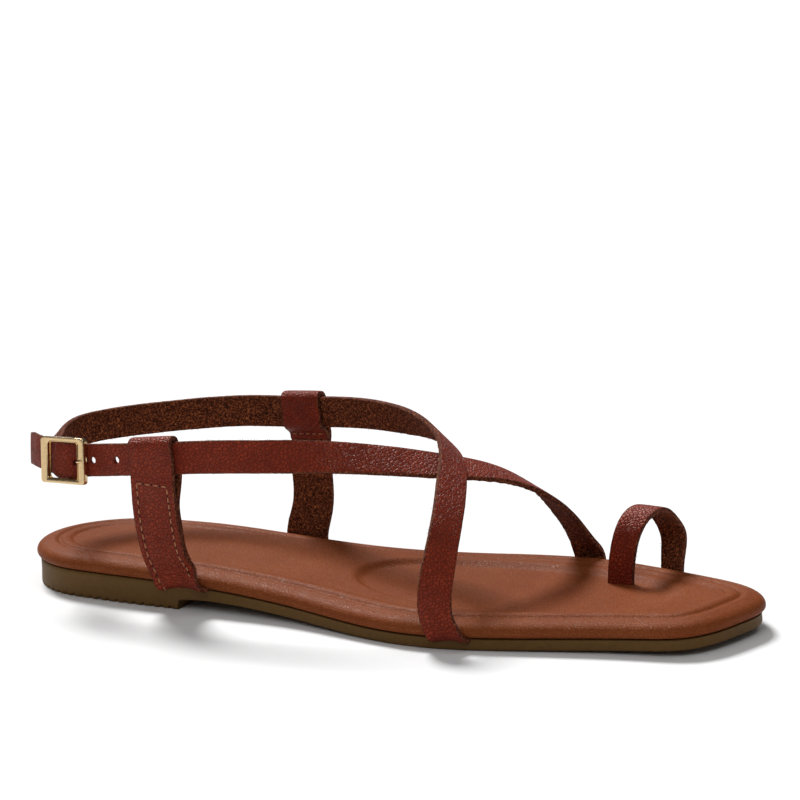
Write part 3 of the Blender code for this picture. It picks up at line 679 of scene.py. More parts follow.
def edge_profile(reach, thick, groove):
    """A cut edge from grain to flesh, with a groove where two leaves meet."""
    thin = min(1.0, thick / (1.2 * MM))
    return [
        (reach - 0.10 * MM, -0.17 * thin * MM),
        (reach, -0.38 * thin * MM),
        (reach - 0.02 * MM, -0.5 * thick + 0.16 * thin * MM),
        (reach - 0.04 * MM - groove, -0.5 * thick),
        (reach - 0.02 * MM, -0.5 * thick - 0.16 * thin * MM),
        (reach - 0.02 * MM, -thick + 0.30 * thin * MM),
    ]


def band_mesh(name, frames, width, materials, seed, columns=14, press=(), leaf=STRAP_THICK, swell=None):
    """A leather band swept along frames: a crowned grain face, cut edges and a ragged flesh face.

    Press rows are across, start and end distance and depth of a line of stitches pulled into the grain.
    """
    rng = np.random.default_rng(seed)
    steps = len(frames.centre)
    run = chord(frames.centre)
    wide = np.full(steps, width / 2) if swell is None else width / 2 + swell
    right, left = (wide + wander(steps, seed + side) for side in (1, 2))
    shares = np.linspace(1, -1, columns)
    rings = []
    for k, (c, g, a, t) in enumerate(zip(*frames)):
        s = np.cross(g, a)
        groove = LEAF_GROOVE * smoothstep((t - 1.15 * leaf) / (0.25 * leaf))
        section = []
        for share in shares:
            across = share * ((right[k] if share > 0 else left[k]) - EDGE_DEPTH)
            sink = 0.10 * MM * share**4
            for where, start, end, depth in press:
                if start <= run[k] <= end:
                    sink += depth * math.exp(-(((across - where) / (0.55 * MM)) ** 2))
            section.append((across, -sink))
        section += [(-x, y) for x, y in edge_profile(left[k], t, groove)]
        for share in shares[::-1]:
            rough = 0.07 * MM * rng.standard_normal()
            across = share * ((right[k] if share > 0 else left[k]) - 0.18 * MM)
            section.append((across, -t + rough + 0.05 * MM))
        section += edge_profile(right[k], t, groove)[::-1]
        rings.append([c + s * x + g * y for x, y in section])
    count = len(rings[0])
    faces = tube_faces(steps, count)
    faces.append(tuple(range(count)))
    faces.append(tuple(range((steps - 1) * count, steps * count)))
    grain, edge, flesh = range(3)
    kind = [grain] * (columns - 1) + [edge] * 7 + [flesh] * (columns - 1) + [edge] * 7
    indices = kind * (steps - 1) + [edge, edge]
    return mesh_object(name, np.array(rings).reshape(-1, 3), faces, materials, indices, smooth=60)


def circle(middle, across, side, radius, sides):
    turns = np.arange(sides) * 2 * math.pi / sides
    return [middle + radius * (across * math.cos(a) + side * math.sin(a)) for a in turns]


def rod_object(name, rings, sides, materials=()):
    """Rings of points as a closed rod."""
    points = np.array(rings).reshape(-1, 3)
    faces = tube_faces(len(rings), sides)
    faces += [tuple(range(sides)), tuple(range(len(points) - sides, len(points)))]
    return mesh_object(name, points, faces, materials)


def wire_mesh(name, path, radius, side, materials=(), grow=0.0, sides=20):
    """A round wire along a path that lies in the plane square to side, with rounded ends."""
    path = np.asarray(path, float)
    ahead = unit(np.gradient(path, axis=0))
    radius += grow
    rounding = [(0.0, 1.0), (0.4, 0.92), (0.75, 0.66), (0.95, 0.3)]
    rings = []
    for k, (point, forward) in enumerate(zip(path, ahead)):
        across = unit(np.cross(forward, side))
        ends = [(0.0, 1.0)]
        if k == 0:
            ends = [(-shift, share) for shift, share in rounding[::-1]]
        if k == len(path) - 1:
            ends = rounding
        for shift, share in ends:
            rings.append(circle(point + forward * shift * radius, across, side, share * radius, sides))
    return rod_object(name, rings, sides, materials)


def rod_mesh(name, start, end, radius, sides=32):
    """A plain round cutter from end to end."""
    forward = unit(end - start)
    side = unit(np.cross(forward, (0.31, 0.42, 0.85)))
    across = np.cross(forward, side)
    return rod_object(name, [circle(p, across, side, radius, sides) for p in (start, end)], sides)


def merged(name, pieces):
    """Several meshes as one object."""
    shape = bmesh.new()
    for piece in pieces:
        shape.from_mesh(piece.data)
    mesh = bpy.data.meshes.new(name)
    shape.to_mesh(mesh)
    shape.free()
    made = link_object(name, mesh, list(pieces[0].data.materials))
    for piece in pieces:
        bpy.data.objects.remove(piece, do_unlink=True)
    return made


def settle(piece, slot, *nodes):
    """Every piece rides on the one body and may stand for CAD nodes, which it hides; the slot is not used."""
    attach(piece, BODY)
    if nodes:
        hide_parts(*nodes)
    return piece


# Materials


def pattern_scale(size):
    """The texture scale that gives features of this size."""
    return 1 / size


def new_material(name):
    """A material with its node tree and the object's own coordinates."""
    made = bpy.data.materials.new(name)
    made.use_nodes = True
    return made, made.node_tree, add_node(made.node_tree, "ShaderNodeTexCoord").outputs["Object"]


def finished(material, **values):
    """The material with its shader's inputs linked or set, where an underscore stands for a space."""
    tree = material.node_tree
    for key, value in values.items():
        socket = tree.nodes["Principled BSDF"].inputs[key.replace("_", " ")]
        if isinstance(value, bpy.types.NodeSocket):
            tree.links.new(value, socket)
        else:
            socket.default_value = value
    return material


def ramp_node(tree, factor, stops):
    """A colour ramp with stops of place and colour or grey."""
    made = add_node(tree, "ShaderNodeValToRGB", None, {"Fac": factor})
    ramp = made.color_ramp
    while len(ramp.elements) < len(stops):
        ramp.elements.new(0.5)
    for element, (place, colour) in zip(ramp.elements, stops):
        element.position = place
        values = (colour,) * 3 if isinstance(colour, float) else tuple(colour)[:3]
        element.color = (*values, 1.0)
    return made.outputs["Color"]


def mix_colours(tree, factor, first, second, blend="MIX"):
    made = add_node(tree, "ShaderNodeMix", {"data_type": "RGBA", "blend_type": blend})
    for socket, value in zip((made.inputs[0], made.inputs[6], made.inputs[7]), (factor, first, second)):
        if isinstance(value, bpy.types.NodeSocket):
            tree.links.new(value, socket)
        elif isinstance(value, tuple):
            socket.default_value = (*value[:3], 1.0)
        else:
            socket.default_value = value
    return made.outputs[2]


def noise_node(tree, coordinates, size, detail=3.0, roughness=0.55):
    inputs = {"Vector": coordinates, "Scale": pattern_scale(size), "Detail": detail, "Roughness": roughness}
    return add_node(tree, "ShaderNodeTexNoise", None, inputs).outputs["Fac"]


def cells_node(tree, coordinates, size, feature="DISTANCE_TO_EDGE"):
    inputs = {"Vector": coordinates, "Scale": pattern_scale(size)}
    return add_node(tree, "ShaderNodeTexVoronoi", {"feature": feature}, inputs).outputs["Distance"]


def bump_node(tree, height, depth, strength, before=None):
    inputs = {"Height": height, "Distance": depth, "Strength": strength}
    if before:
        inputs["Normal"] = before
    return add_node(tree, "ShaderNodeBump", None, inputs).outputs["Normal"]


def dyed_node(tree, factor, colour, share):
    """A mix from this share of a colour to the colour itself."""
    return mix_colours(tree, factor, tuple(share * c for c in colour), tuple(colour))


def leather_material(name, colour, shade, grain):
    """Grain leather: pebbles parted by fine creases with painted shade in them, cloudy dye and patches of
    wear in the gloss.
    """
    made, tree, coordinates = new_material(name)
    inputs = {"Vector": coordinates, "Scale": pattern_scale(2.5 * grain.pebble)}
    warp = add_node(tree, "ShaderNodeTexNoise", None, inputs).outputs["Color"]
    bent = mix_colours(tree, 0.35 * MM / grain.pebble * MM, coordinates, warp)
    creases = ramp_node(tree, cells_node(tree, bent, grain.pebble), [(0.0, 0.0), (0.16, 0.75), (0.5, 1.0)])
    clouds = ramp_node(tree, noise_node(tree, coordinates, grain.cloud, 4), [(0.3, 0.0), (0.72, 1.0)])
    dyed = mix_colours(tree, clouds, tuple(shade), tuple(colour))
    fine = noise_node(tree, coordinates, 0.35 * grain.pebble, 2)
    patches = noise_node(tree, coordinates, 3 * grain.pebble, 3)
    pebbled = bump_node(tree, creases, grain.relief, 0.9)
    return finished(
        made,
        # Painted shade: the creases are darkened to 0.78 of the shade colour, over the cloudy dye
        Base_Color=mix_colours(tree, creases, tuple(0.78 * c for c in shade), dyed),
        Roughness=ramp_node(tree, patches, [(0.3, grain.roughness - 0.07), (0.7, grain.roughness + 0.09)]),
        Normal=bump_node(tree, fine, 0.3 * grain.relief, 0.6, pebbled),
        IOR=1.5,
        Specular_IOR_Level=grain.gloss,
        Specular_Tint=(1.0, 0.62, 0.48, 1.0),
    )


def flesh_material(look):
    """Rough back of a chrome-tanned hide: matted fibre in dark dye, its colour following the fibres' bump,
    with a painted highlight on the raised fibre tips and painted shade in the low fibre.
    """
    made, tree, coordinates = new_material("flesh_side_leather")
    tufts = noise_node(tree, coordinates, 0.62 * MM, 4, 0.72)
    dark, light = linear("#1F0E08"), linear("#935233")
    stops = [(0.38, dark), (0.50, look.flesh_colour), (0.60, light), (0.70, look.fibre_colour)]
    matted = bump_node(tree, tufts, 0.5 * MM, 1.0)
    cells = cells_node(tree, coordinates, 0.5 * MM, "F1")
    return finished(
        made,
        # The tufts set both the bump and the colour: painted shade where the fibre is low, painted highlight
        # on the raised tips
        Base_Color=ramp_node(tree, tufts, stops),
        Normal=bump_node(tree, cells, 0.2 * MM, 0.5, matted),
        Roughness=0.92,
        IOR=1.45,
        Specular_IOR_Level=0.15,
    )


def cut_edge_material(look):
    """Raw cut edge of the same hide: undyed fibre in the middle, dark dye soaked in from the faces."""
    made, tree, coordinates = new_material("raw_cut_edge_leather")
    streaks = noise_node(tree, coordinates, 0.6 * MM, 3, 0.65)
    stops = [(0.33, linear("#2C120B")), (0.52, look.edge_colour), (0.86, look.fibre_colour)]
    return finished(
        made,
        Base_Color=ramp_node(tree, streaks, stops),
        Normal=bump_node(tree, streaks, 0.25 * MM, 0.8),
        Roughness=0.85,
        IOR=1.45,
        Specular_IOR_Level=0.2,
    )


def rubber_material(look, name, tread):
    """Moulded thermoplastic rubber: matt, faintly speckled, with a fine pressed tread underneath."""
    made, tree, coordinates = new_material(name)
    specks = noise_node(tree, coordinates, 1.6 * MM, 4)
    normal = bump_node(tree, noise_node(tree, coordinates, 0.5 * MM, 2), 0.08 * MM, 0.7)
    if tread:
        settings = {"wave_type": "BANDS", "bands_direction": "DIAGONAL", "wave_profile": "TRI"}
        inputs = {"Vector": coordinates, "Scale": pattern_scale(3.2 * MM) / 6.28, "Distortion": 0.0}
        ribs = add_node(tree, "ShaderNodeTexWave", settings, inputs).outputs["Fac"]
        normal = bump_node(tree, ribs, 0.6 * MM, 0.9, normal)
    return finished(
        made,
        Base_Color=dyed_node(tree, specks, look.rubber_colour, 0.68),
        Normal=normal,
        Roughness=0.58,
        IOR=1.5,
        Specular_IOR_Level=0.2,
        Specular_Tint=(1.0, 0.8, 0.55, 1.0),
    )


def plating_material(look):
    """Pale gold plating on a stamped zinc buckle: polished, with faint wipe marks in its gloss."""
    made, tree, coordinates = new_material("polished_gold_plating")
    marks = ramp_node(tree, noise_node(tree, coordinates, 1.2 * MM, 3), [(0.3, 0.13), (0.75, 0.24)])
    return finished(made, Roughness=marks, Base_Color=(*look.plating_colour, 1.0), Metallic=1.0)


def thread_material(look):
    """Twisted polyester thread, a little shiny and lighter than the leather."""
    made, tree, coordinates = new_material("twisted_polyester_thread")
    strands = noise_node(tree, coordinates, 0.5 * MM, 2)
    colour = dyed_node(tree, strands, look.thread_colour, 0.45)
    twist = bump_node(tree, strands, 0.06 * MM, 0.6)
    return finished(made, Base_Color=colour, Normal=twist, Roughness=0.55, IOR=1.5)


def hole_material():
    """Shadowed leather inside a needle hole: matt and nearly black, with a trace of the dye."""
    made, tree, coordinates = new_material("shadowed_needle_hole")
    depth = noise_node(tree, coordinates, 0.4 * MM, 2)
    colour = mix_colours(tree, depth, linear("#080302"), linear("#1C0C08"))
    return finished(made, Base_Color=colour, Roughness=0.9, IOR=1.45)


def floor_material(look):
    """Matt coated paper sweep: nearly white and without gloss."""
    made, tree, coordinates = new_material("matt_paper_sweep")
    tone = dyed_node(tree, noise_node(tree, coordinates, 300 * MM, 2), look.floor_colour, 0.985)
    return finished(made, Base_Color=tone, Roughness=0.95, Specular_IOR_Level=0.1)


def strap_finishes():
    """The three faces of a strap: grain side, cut edge and flesh side."""
    look = bpy.context.scene.sandal_look
    names = ("pebbled_grain_leather", "raw_cut_edge_leather", "flesh_side_leather")
    if names[0] not in bpy.data.materials:
        # Waxed cow grain with a pebble about a millimetre across
        grain = STRAP_GRAIN._replace(pebble=look.pebble_size)
        leather_material(names[0], look.strap_colour, look.strap_shade, grain)
        cut_edge_material(look)
        flesh_material(look)
    return [bpy.data.materials[name] for name in names]


# Geometry Nodes for stitches and loose fibres


def stitch_tree():
    """Puts a thread, or a dark bead of painted shade for a needle hole, on each point, turned to its along
    and facing attributes.
    """
    if "Stitch row" in bpy.data.node_groups:
        return bpy.data.node_groups["Stitch row"]
    tree = bpy.data.node_groups.new("Stitch row", "GeometryNodeTree")
    floats = dict.fromkeys(("Length", "Width", "Height"), "Float")
    kinds = {"Geometry": "Geometry", **floats, "Material": "Material"}
    for name, kind in kinds.items():
        tree.interface.new_socket(name, in_out="INPUT", socket_type="NodeSocket" + kind)
    tree.interface.new_socket("Geometry", in_out="OUTPUT", socket_type="NodeSocketGeometry")

    def step(kind, output, settings=None, **inputs):
        return add_node(tree, kind, settings, inputs).outputs[output]

    given = add_node(tree, "NodeGroupInput").outputs
    bead = step("GeometryNodeMeshUVSphere", "Mesh", Segments=8, Rings=6, Radius=0.5)
    smooth = step("GeometryNodeSetShadeSmooth", "Geometry", Geometry=bead)
    size = step("ShaderNodeCombineXYZ", "Vector", X=given["Length"], Y=given["Width"], Z=given["Height"])
    vector = {"data_type": "FLOAT_VECTOR"}
    along = step("GeometryNodeInputNamedAttribute", "Attribute", vector, Name="along")
    facing = step("GeometryNodeInputNamedAttribute", "Attribute", vector, Name="facing")
    align = "FunctionNodeAlignRotationToVector"
    aimed = step(align, "Rotation", {"axis": "X"}, Vector=along)
    turned = step(align, "Rotation", {"axis": "Z", "pivot_axis": "X"}, Rotation=aimed, Vector=facing)
    points = step("GeometryNodeMeshToPoints", "Points", Mesh=given["Geometry"])
    inputs = {"Points": points, "Instance": smooth, "Rotation": turned, "Scale": size}
    placed_beads = step("GeometryNodeInstanceOnPoints", "Instances", **inputs)
    real = step("GeometryNodeRealizeInstances", "Geometry", Geometry=placed_beads)
    dressed = step("GeometryNodeSetMaterial", "Geometry", Geometry=real, Material=given["Material"])
    add_node(tree, "NodeGroupOutput", None, {"Geometry": dressed})
    return tree


def scatter(name, places, sizes, finish):
    """One bead a place, where a place is a point with the way it runs and the way it faces."""
    tree = stitch_tree()
    mesh = bpy.data.meshes.new(name)
    mesh.from_pydata([tuple(map(float, p[0])) for p in places], [], [])
    for index, key in ((1, "along"), (2, "facing")):
        layer = mesh.attributes.new(key, "FLOAT_VECTOR", "POINT")
        layer.data.foreach_set("vector", np.array([p[index] for p in places], np.float32).reshape(-1))
    made = link_object(name, mesh)
    rows = made.modifiers.new("rows", "NODES")
    rows.node_group = tree
    wanted = {"Length": sizes[0], "Width": sizes[1], "Height": sizes[2], "Material": finish}
    for item in tree.interface.items_tree:
        if item.in_out == "INPUT" and item.name in wanted:
            rows[item.identifier] = wanted[item.name]
    return plain(made)


def row_places(frames, across, start, end, pitch, lift=0.0):
    """Places along a band at one distance across it."""
    run = chord(frames.centre)
    count = max(2, round((end - start) / pitch) + 1)
    found = []
    for distance in np.linspace(start, end, count):
        here = station(frames, distance)
        side = np.cross(here.outward, here.ahead)
        found.append((here.centre + side * across + here.outward * lift, here.ahead, here.outward))
    return found


def cross_places(frames, distance, reach, pitch, lift=0.0):
    """Places across a band at one distance along it."""
    here = station(frames, distance)
    side = np.cross(here.outward, here.ahead)
    count = max(2, round(2 * reach / pitch) + 1)
    return [
        (here.centre + side * across + here.outward * lift, side, here.outward)
        for across in np.linspace(-reach, reach, count)
    ]


def between(places):
    """The places half way between each and the next, for the beads of painted shade in the needle holes."""
    return [((a[0] + b[0]) / 2, a[1], a[2]) for a, b in zip(places, places[1:])]


def fibre_places(frames, width, every, seed):
    """Loose fibres along both flesh edges of a band, leaning out at random."""
    rng = np.random.default_rng(seed)
    found = []
    for c, g, a, t in zip(*frames):
        s = np.cross(g, a)
        for side in (-1, 1):
            if rng.uniform() > every:
                continue
            lean = unit(side * s * rng.uniform(0.3, 1.0) + a * rng.uniform(-1, 1) - g * rng.uniform(0.0, 0.8))
            root = c + side * s * (width / 2 - 0.05 * MM) - g * t * rng.uniform(0.55, 1.0)
            found.append((root + lean * 0.25 * MM, lean, unit(np.cross(lean, a + 0.3 * g))))
    return found


def loose_fibres(name, places, length):
    """Loose fibres in the colour of the cut edge."""
    made = scatter(name, places, (length, FIBRE_WIDTH, FIBRE_WIDTH), strap_finishes()[1])
    return settle(made, "brown_strap_leather")


def colour_property(name, description, code):
    return FloatVectorProperty(name=name, description=description, subtype="COLOR", default=linear(code))


def length_property(name, description, default, least):
    return FloatProperty(name=name, description=description, unit="LENGTH", default=default, min=least)


class SandalLook(PropertyGroup):
    """Colours and fine sizes of the sandal."""

    strap_colour: colour_property("Strap grain", "Grain side of the straps", "#93351D")
    # The strap shade is the darker dye of the clouds and also sets the painted shade in the grain's creases
    strap_shade: colour_property("Strap shade", "Darker dye in the strap grain", "#702213")
    flesh_colour: colour_property("Flesh side", "Rough inner face of the straps", "#5C2C17")
    fibre_colour: colour_property("Fibre tips", "Light fibres of the flesh side", "#CC8149")
    edge_colour: colour_property("Cut edge", "Raw edges of the straps", "#56261A")
    footbed_colour: colour_property("Footbed", "Lining leather of the footbed", "#8B4D2B")
    # The footbed shade is the darker dye of the clouds and also sets the painted shade in the lining's
    # creases
    footbed_shade: colour_property("Footbed shade", "Darker dye in the lining", "#793D20")
    rubber_colour: colour_property("Outsole", "Moulded rubber", "#674B28")
    plating_colour: colour_property("Plating", "Buckle plating", "#D6B98C")
    thread_colour: colour_property("Thread", "Stitching thread", "#BC7C50")
    floor_colour: colour_property("Floor", "Paper sweep", "#DEDEDE")
    pebble_size: length_property("Pebble size", "Width of a grain pebble", STRAP_GRAIN.pebble, 0.2 * MM)


class SandalSizes(PropertyGroup):
    """Sizes of what is added over the frame."""

    stitch_pitch: length_property("Stitch pitch", "Distance between stitches", 2.8 * MM, 1 * MM)
    stitch_length: length_property("Stitch length", "Length of thread that shows", 2.1 * MM, 0.5 * MM)
    thread_width: length_property("Thread width", "Diameter of the thread", 0.5 * MM, 0.1 * MM)
    stitch_inset: length_property("Stitch inset", "Stitch row to band edge", 2.0 * MM, 0.5 * MM)
    heel_notch_pitch: length_property("Heel notch pitch", "Distance between notches", 3.5 * MM, 0.5 * MM)
    heel_notch_depth: length_property("Heel notch depth", "Depth of a tread notch", 1.1 * MM, 0.0)
    footbed_columns: IntProperty(
        name="Footbed columns", description="Faces across the footbed", default=64, min=8, max=200
    )


class SandalOperator:
    """What the operators share: each builds its own piece from the scene's settings."""

    bl_options = {"REGISTER", "UNDO"}

    def execute(self, context):
        self.build(context.scene.sandal_look, context.scene.sandal_sizes)
        return {"FINISHED"}


def ladder_faces(points, faces, ring, start, columns, height):
    """Closes a ring with rungs from side to side, at the heights that a function gives."""
    count = len(ring)
    rungs = (count - 2) // 2
    heel, toe = start, start + rungs + 1
    shares = np.arange(1, columns) / columns
    grid = []
    for r in range(rungs):
        first, last = ring[1 + r], ring[count - 1 - r]
        x, y = (lerp(first[i], last[i], shares) for i in (0, 1))
        z = height(x, y)
        row = [start + 1 + r] + list(range(len(points), len(points) + columns - 1)) + [start + count - 1 - r]
        points.extend(zip(x, y, z))
        grid.append(row)
    for c in range(columns):
        faces.append((heel, grid[0][c], grid[0][c + 1]))
        faces.append((toe, grid[-1][c + 1], grid[-1][c]))
        for r in range(rungs - 1):
            faces.append((grid[r][c], grid[r + 1][c], grid[r + 1][c + 1], grid[r][c + 1]))


def closed_shell(rings, under, over, columns):
    """Points and faces of rings closed below and above, and the counts of side faces and bottom faces."""
    count = len(rings[0])
    points = [tuple(p) for r in rings for p in r]
    faces = tube_faces(len(rings), count)
    sides = len(faces)
    ladder_faces(points, faces, rings[0], 0, 2, under)
    bottom = len(faces) - sides
    ladder_faces(points, faces, rings[-1], (len(rings) - 1) * count, columns, over)
    return points, faces, sides, bottom


class SANDAL_OT_outsole(SandalOperator, Operator):
    """Moulded outsole with a heel block, a notched heel edge and a fine tread."""

    bl_idname = "sandal.outsole"
    bl_label = "Outsole"

    def build(self, look, sizes):
        ring, point, away = outline_ring(110, 190)
        x = point[:, 0]
        bottom, top = sole_bottom(x), sole_top(x)
        on_heel = x < HEEL_BREAST - HEEL_SEAT - 1.5 * MM
        phase = (ring / sizes.heel_notch_pitch) % 1.0
        notch = np.where(on_heel, smoothstep(1.3 - np.abs(phase - 0.5) / 0.17), 0.0) * sizes.heel_notch_depth
        rings = []
        for row in SOLE_ROWS:
            inset = row.inset * MM + 0.9 * row.notched * notch[:, None]
            rings.append(np.c_[point - away * inset, bottom + row.rise * MM])
        for share in (0.35, 0.6, 0.8):
            bow = SOLE_BOW * math.sin(math.pi * share)
            rings.append(np.c_[point - away * bow, lerp(bottom + SOLE_WALL_START, top, share)])
        rings.append(np.c_[point - away * 0.03 * MM, top - 0.25 * MM])
        rings.append(np.c_[point - away * 0.30 * MM, top])
        rings[0][:, 2] += 0.85 * notch
        shell = closed_shell(rings, lambda a, b: sole_bottom(a), lambda a, b: sole_top(a), 2)
        points, faces, sides, bottom_faces = shell
        indices = [0] * sides + [1] * bottom_faces + [0] * (len(faces) - sides - bottom_faces)
        names = ("moulded_sole_rubber", "moulded_tread_rubber")
        finishes = [rubber_material(look, name, name == names[1]) for name in names]
        made = mesh_object("outsole_rubber", points, faces, finishes, indices, smooth=50)
        settle(made, "moulded_rubber", "outsole")


class SANDAL_OT_footbed(SandalOperator, Operator):
    """Padded footbed with a rolled rim, a groove, a raised band and a moulded forefoot."""

    bl_idname = "sandal.footbed"
    bl_label = "Footbed"

    def build(self, look, sizes):
        ring, point, away = outline_ring(90, 190)
        x = point[:, 0]
        base = sole_top(x) + FIT_GAP
        bulge, roll = FOOTBED_OVERHANG, FOOTBED_ROLL
        full = FOOTBED_RISE - FIT_GAP
        inner = roll + FOOTBED_BAND
        rows = np.array(
            (
                (1.2 * bulge, 0.0),
                (-0.2 * bulge, 0.04 * full),
                (-0.9 * bulge, 0.18 * full),
                (-bulge, 0.34 * full),
                (-0.5 * bulge, 0.58 * full),
                (0.16 * roll, 0.78 * full),
                (0.48 * roll, 0.88 * full),
                (0.84 * roll, 0.90 * full),
                (roll, 0.90 * full - BAND_GROOVE),
                (1.14 * roll, 0.92 * full),
                (inner, full),
                (1.16 * inner, full - BAND_GROOVE),
            )
        )
        run = chord(rows)
        places = np.unique(np.r_[np.linspace(0, run[-1], 46), run])
        profile, _ = cubic(run, rows, places)
        pucker = 0.05 * MM * (drift(len(ring), 3, 5) + drift(len(ring), 7, 6))
        rings = []
        blended = 1 - smoothstep((x + HEEL_SEAT - 25 * MM) / (60 * MM))
        for inset, up in profile:
            pulled = pucker * smoothstep(1 - abs(inset - roll) / (3.5 * MM))
            pulled = pulled - 0.36 * MM * blended * math.exp(-(((inset - inner) / (1.5 * MM)) ** 2))
            here = point - away * inset
            level = footbed_top(here[:, 0], here[:, 1]) - FOOTBED_RISE + BAND_GROOVE
            share = smoothstep((inset - inner) / (0.16 * inner))
            rings.append(np.c_[here, base + up + pulled + share * level])
        points, faces, _, _ = closed_shell(
            rings,
            lambda a, b: sole_top(a) + FIT_GAP,
            lambda a, b: sole_top(a) + footbed_top(a, b),
            sizes.footbed_columns,
        )
        # Smooth lining leather over foam, with a fine tight grain
        colours = (look.footbed_colour, look.footbed_shade)
        finish = leather_material("smooth_lining_leather", *colours, LINING_GRAIN)
        made = mesh_object("footbed_lining", points, faces, [finish], smooth=80)
        settle(made, "tan_lining_leather", "footbed")


class SANDAL_OT_straps(SandalOperator, Operator):
    """The two crossed straps, with the punched holes of the buckle's strap."""

    bl_idname = "sandal.straps"
    bl_label = "Crossed straps"

    def build(self, look, sizes):
        finishes = strap_finishes()
        under, over, place, middle = crossed_frames()
        upper = band_mesh("over_strap", over, STRAP_WIDTH, finishes, 11)
        run = chord(under.centre)
        swell = STRAP_SWELL * smoothstep(1.6 - np.abs(run - middle) / (0.5 * BUCKLE_OPENING))
        lower = band_mesh("under_strap", under, STRAP_WIDTH, finishes, 23, swell=swell)
        cutters = []
        for k in range(2):
            punched = station(under, middle - PUNCH_START - k * PUNCH_PITCH)
            axis = unit(punched.outward - PUNCH_LEAN * punched.ahead)
            ends = [punched.centre + axis * out * MM for out in (-4, 2)]
            cutters.append(rod_mesh(f"punch_{k + 1}", *ends, PUNCH_GROWTH * PUNCH_RADIUS))
        path = prong_path(place)
        cutters.append(wire_mesh("prong_hole", path[7:], PRONG_RADIUS, place.up, grow=FIT_GAP))
        cut(lower, *cutters)
        for piece in (upper, lower):
            settle(piece, "brown_strap_leather", "crossed_straps")
        places = fibre_places(over, STRAP_WIDTH, 0.22, 31) + fibre_places(under, STRAP_WIDTH, 0.22, 37)
        loose_fibres("strap_fibres", places, 0.9 * MM)


class SANDAL_OT_toe_loop(SandalOperator, Operator):
    """The loop round the big toe."""

    bl_idname = "sandal.toe_loop"
    bl_label = "Toe loop"

    def build(self, look, sizes):
        frames = toe_loop_frames()
        made = band_mesh("toe_loop_band", frames, TOE_STRAP_WIDTH, strap_finishes(), 41)
        settle(made, "brown_strap_leather", "toe_loop")
        loose_fibres("toe_loop_fibres", fibre_places(frames, TOE_STRAP_WIDTH, 0.2, 43), 0.8 * MM)


def distance_at_height(frames, height):
    """Distance along a keeper to where it first rises past this height."""
    run = chord(frames.centre)
    risen = np.where((frames.centre[:-1, 2] < height) & (frames.centre[1:, 2] >= height))[0][0]
    return run[risen]


class SANDAL_OT_keepers(SandalOperator, Operator):
    """The two keepers, each a band folded over its strap and stitched to itself."""

    bl_idname = "sandal.keepers"
    bl_label = "Keepers"

    def build(self, look, sizes):
        finishes = strap_finishes()
        under, over, _, _ = crossed_frames()
        thread, hole = thread_material(look), hole_material()
        pitch = sizes.stitch_pitch
        rows = []

        held = station(under, distance_at(under, LATERAL_KEEPER_ALONG * LENGTH - HEEL_SEAT))
        near = keeper_frames(held, tuck_rows(0.268, True, 27), LATERAL_LEG, None)
        reach = LATERAL_KEEPER_WIDTH / 2 - sizes.stitch_inset
        top = distance_at_height(near, held.centre[2] - 7.7 * MM)
        low = distance_at_height(near, 10.2 * MM)
        press = [(side * reach, low, top, STITCH_PRESS) for side in (-1, 1)]
        width = LATERAL_KEEPER_WIDTH + KEEPER_EASE
        lateral = band_mesh("lateral_keeper_band", near, width, finishes, 53, 30, press, KEEPER_THICK)
        settle(lateral, "brown_strap_leather", "lateral_keeper")
        for side in (-1, 1):
            rows.append(row_places(near, side * reach, low, top - 0.5 * pitch, pitch, -STITCH_SINK))
        rows.append(cross_places(near, top, reach - 0.4 * pitch, pitch, STITCH_LIFT))

        held = station(over, distance_at(over, MEDIAL_KEEPER_ALONG * LENGTH - HEEL_SEAT))
        far = keeper_frames(held, tuck_rows(0.326, False, 0), MEDIAL_LEG, MEDIAL_FLAP)
        width = MEDIAL_KEEPER_WIDTH + KEEPER_EASE
        medial = band_mesh("medial_keeper_band", far, width, finishes, 67, 26, (), KEEPER_THICK)
        settle(medial, "brown_strap_leather", "medial_keeper")
        end = chord(far.centre)[-1] - 1.9 * MM
        rise = distance_at_height(far, station(far, end).centre[2])
        reach = MEDIAL_KEEPER_WIDTH / 2 - sizes.stitch_inset
        for distance in (end, rise):
            rows.append(cross_places(far, distance, reach, pitch, STITCH_LIFT))

        threads = [place for row in rows for place in row]
        holes = [place for row in rows for place in between(row)]
        bead = (sizes.stitch_length, sizes.thread_width, 0.8 * sizes.thread_width)
        settle(scatter("keeper_stitches", threads, bead, thread), "brown_strap_leather")
        # Nearly black beads of painted shade stand for the needle holes between the stitches
        hole_shade_beads = scatter("keeper_needle_hole_shade", holes, (0.85 * MM, 0.6 * MM, 0.25 * MM), hole)
        settle(hole_shade_beads, "brown_strap_leather")
        places = fibre_places(near, LATERAL_KEEPER_WIDTH, 0.12, 71)
        places += fibre_places(far, MEDIAL_KEEPER_WIDTH, 0.2, 73)
        loose_fibres("keeper_fibres", places, 0.8 * MM)


def corners(x, y):
    """A rounded rectangle as a list of points, from its full sizes."""
    found = []
    for a, b, start in ((1, 1, 0), (-1, 1, 90), (-1, -1, 180), (1, -1, 270)):
        across, up = a * (x / 2 - BUCKLE_CORNER), b * (y / 2 - BUCKLE_CORNER)
        for step in range(0, 91, 15):
            turn = math.radians(start + step)
            found.append((across + BUCKLE_CORNER * math.cos(turn), up + BUCKLE_CORNER * math.sin(turn)))
    return found


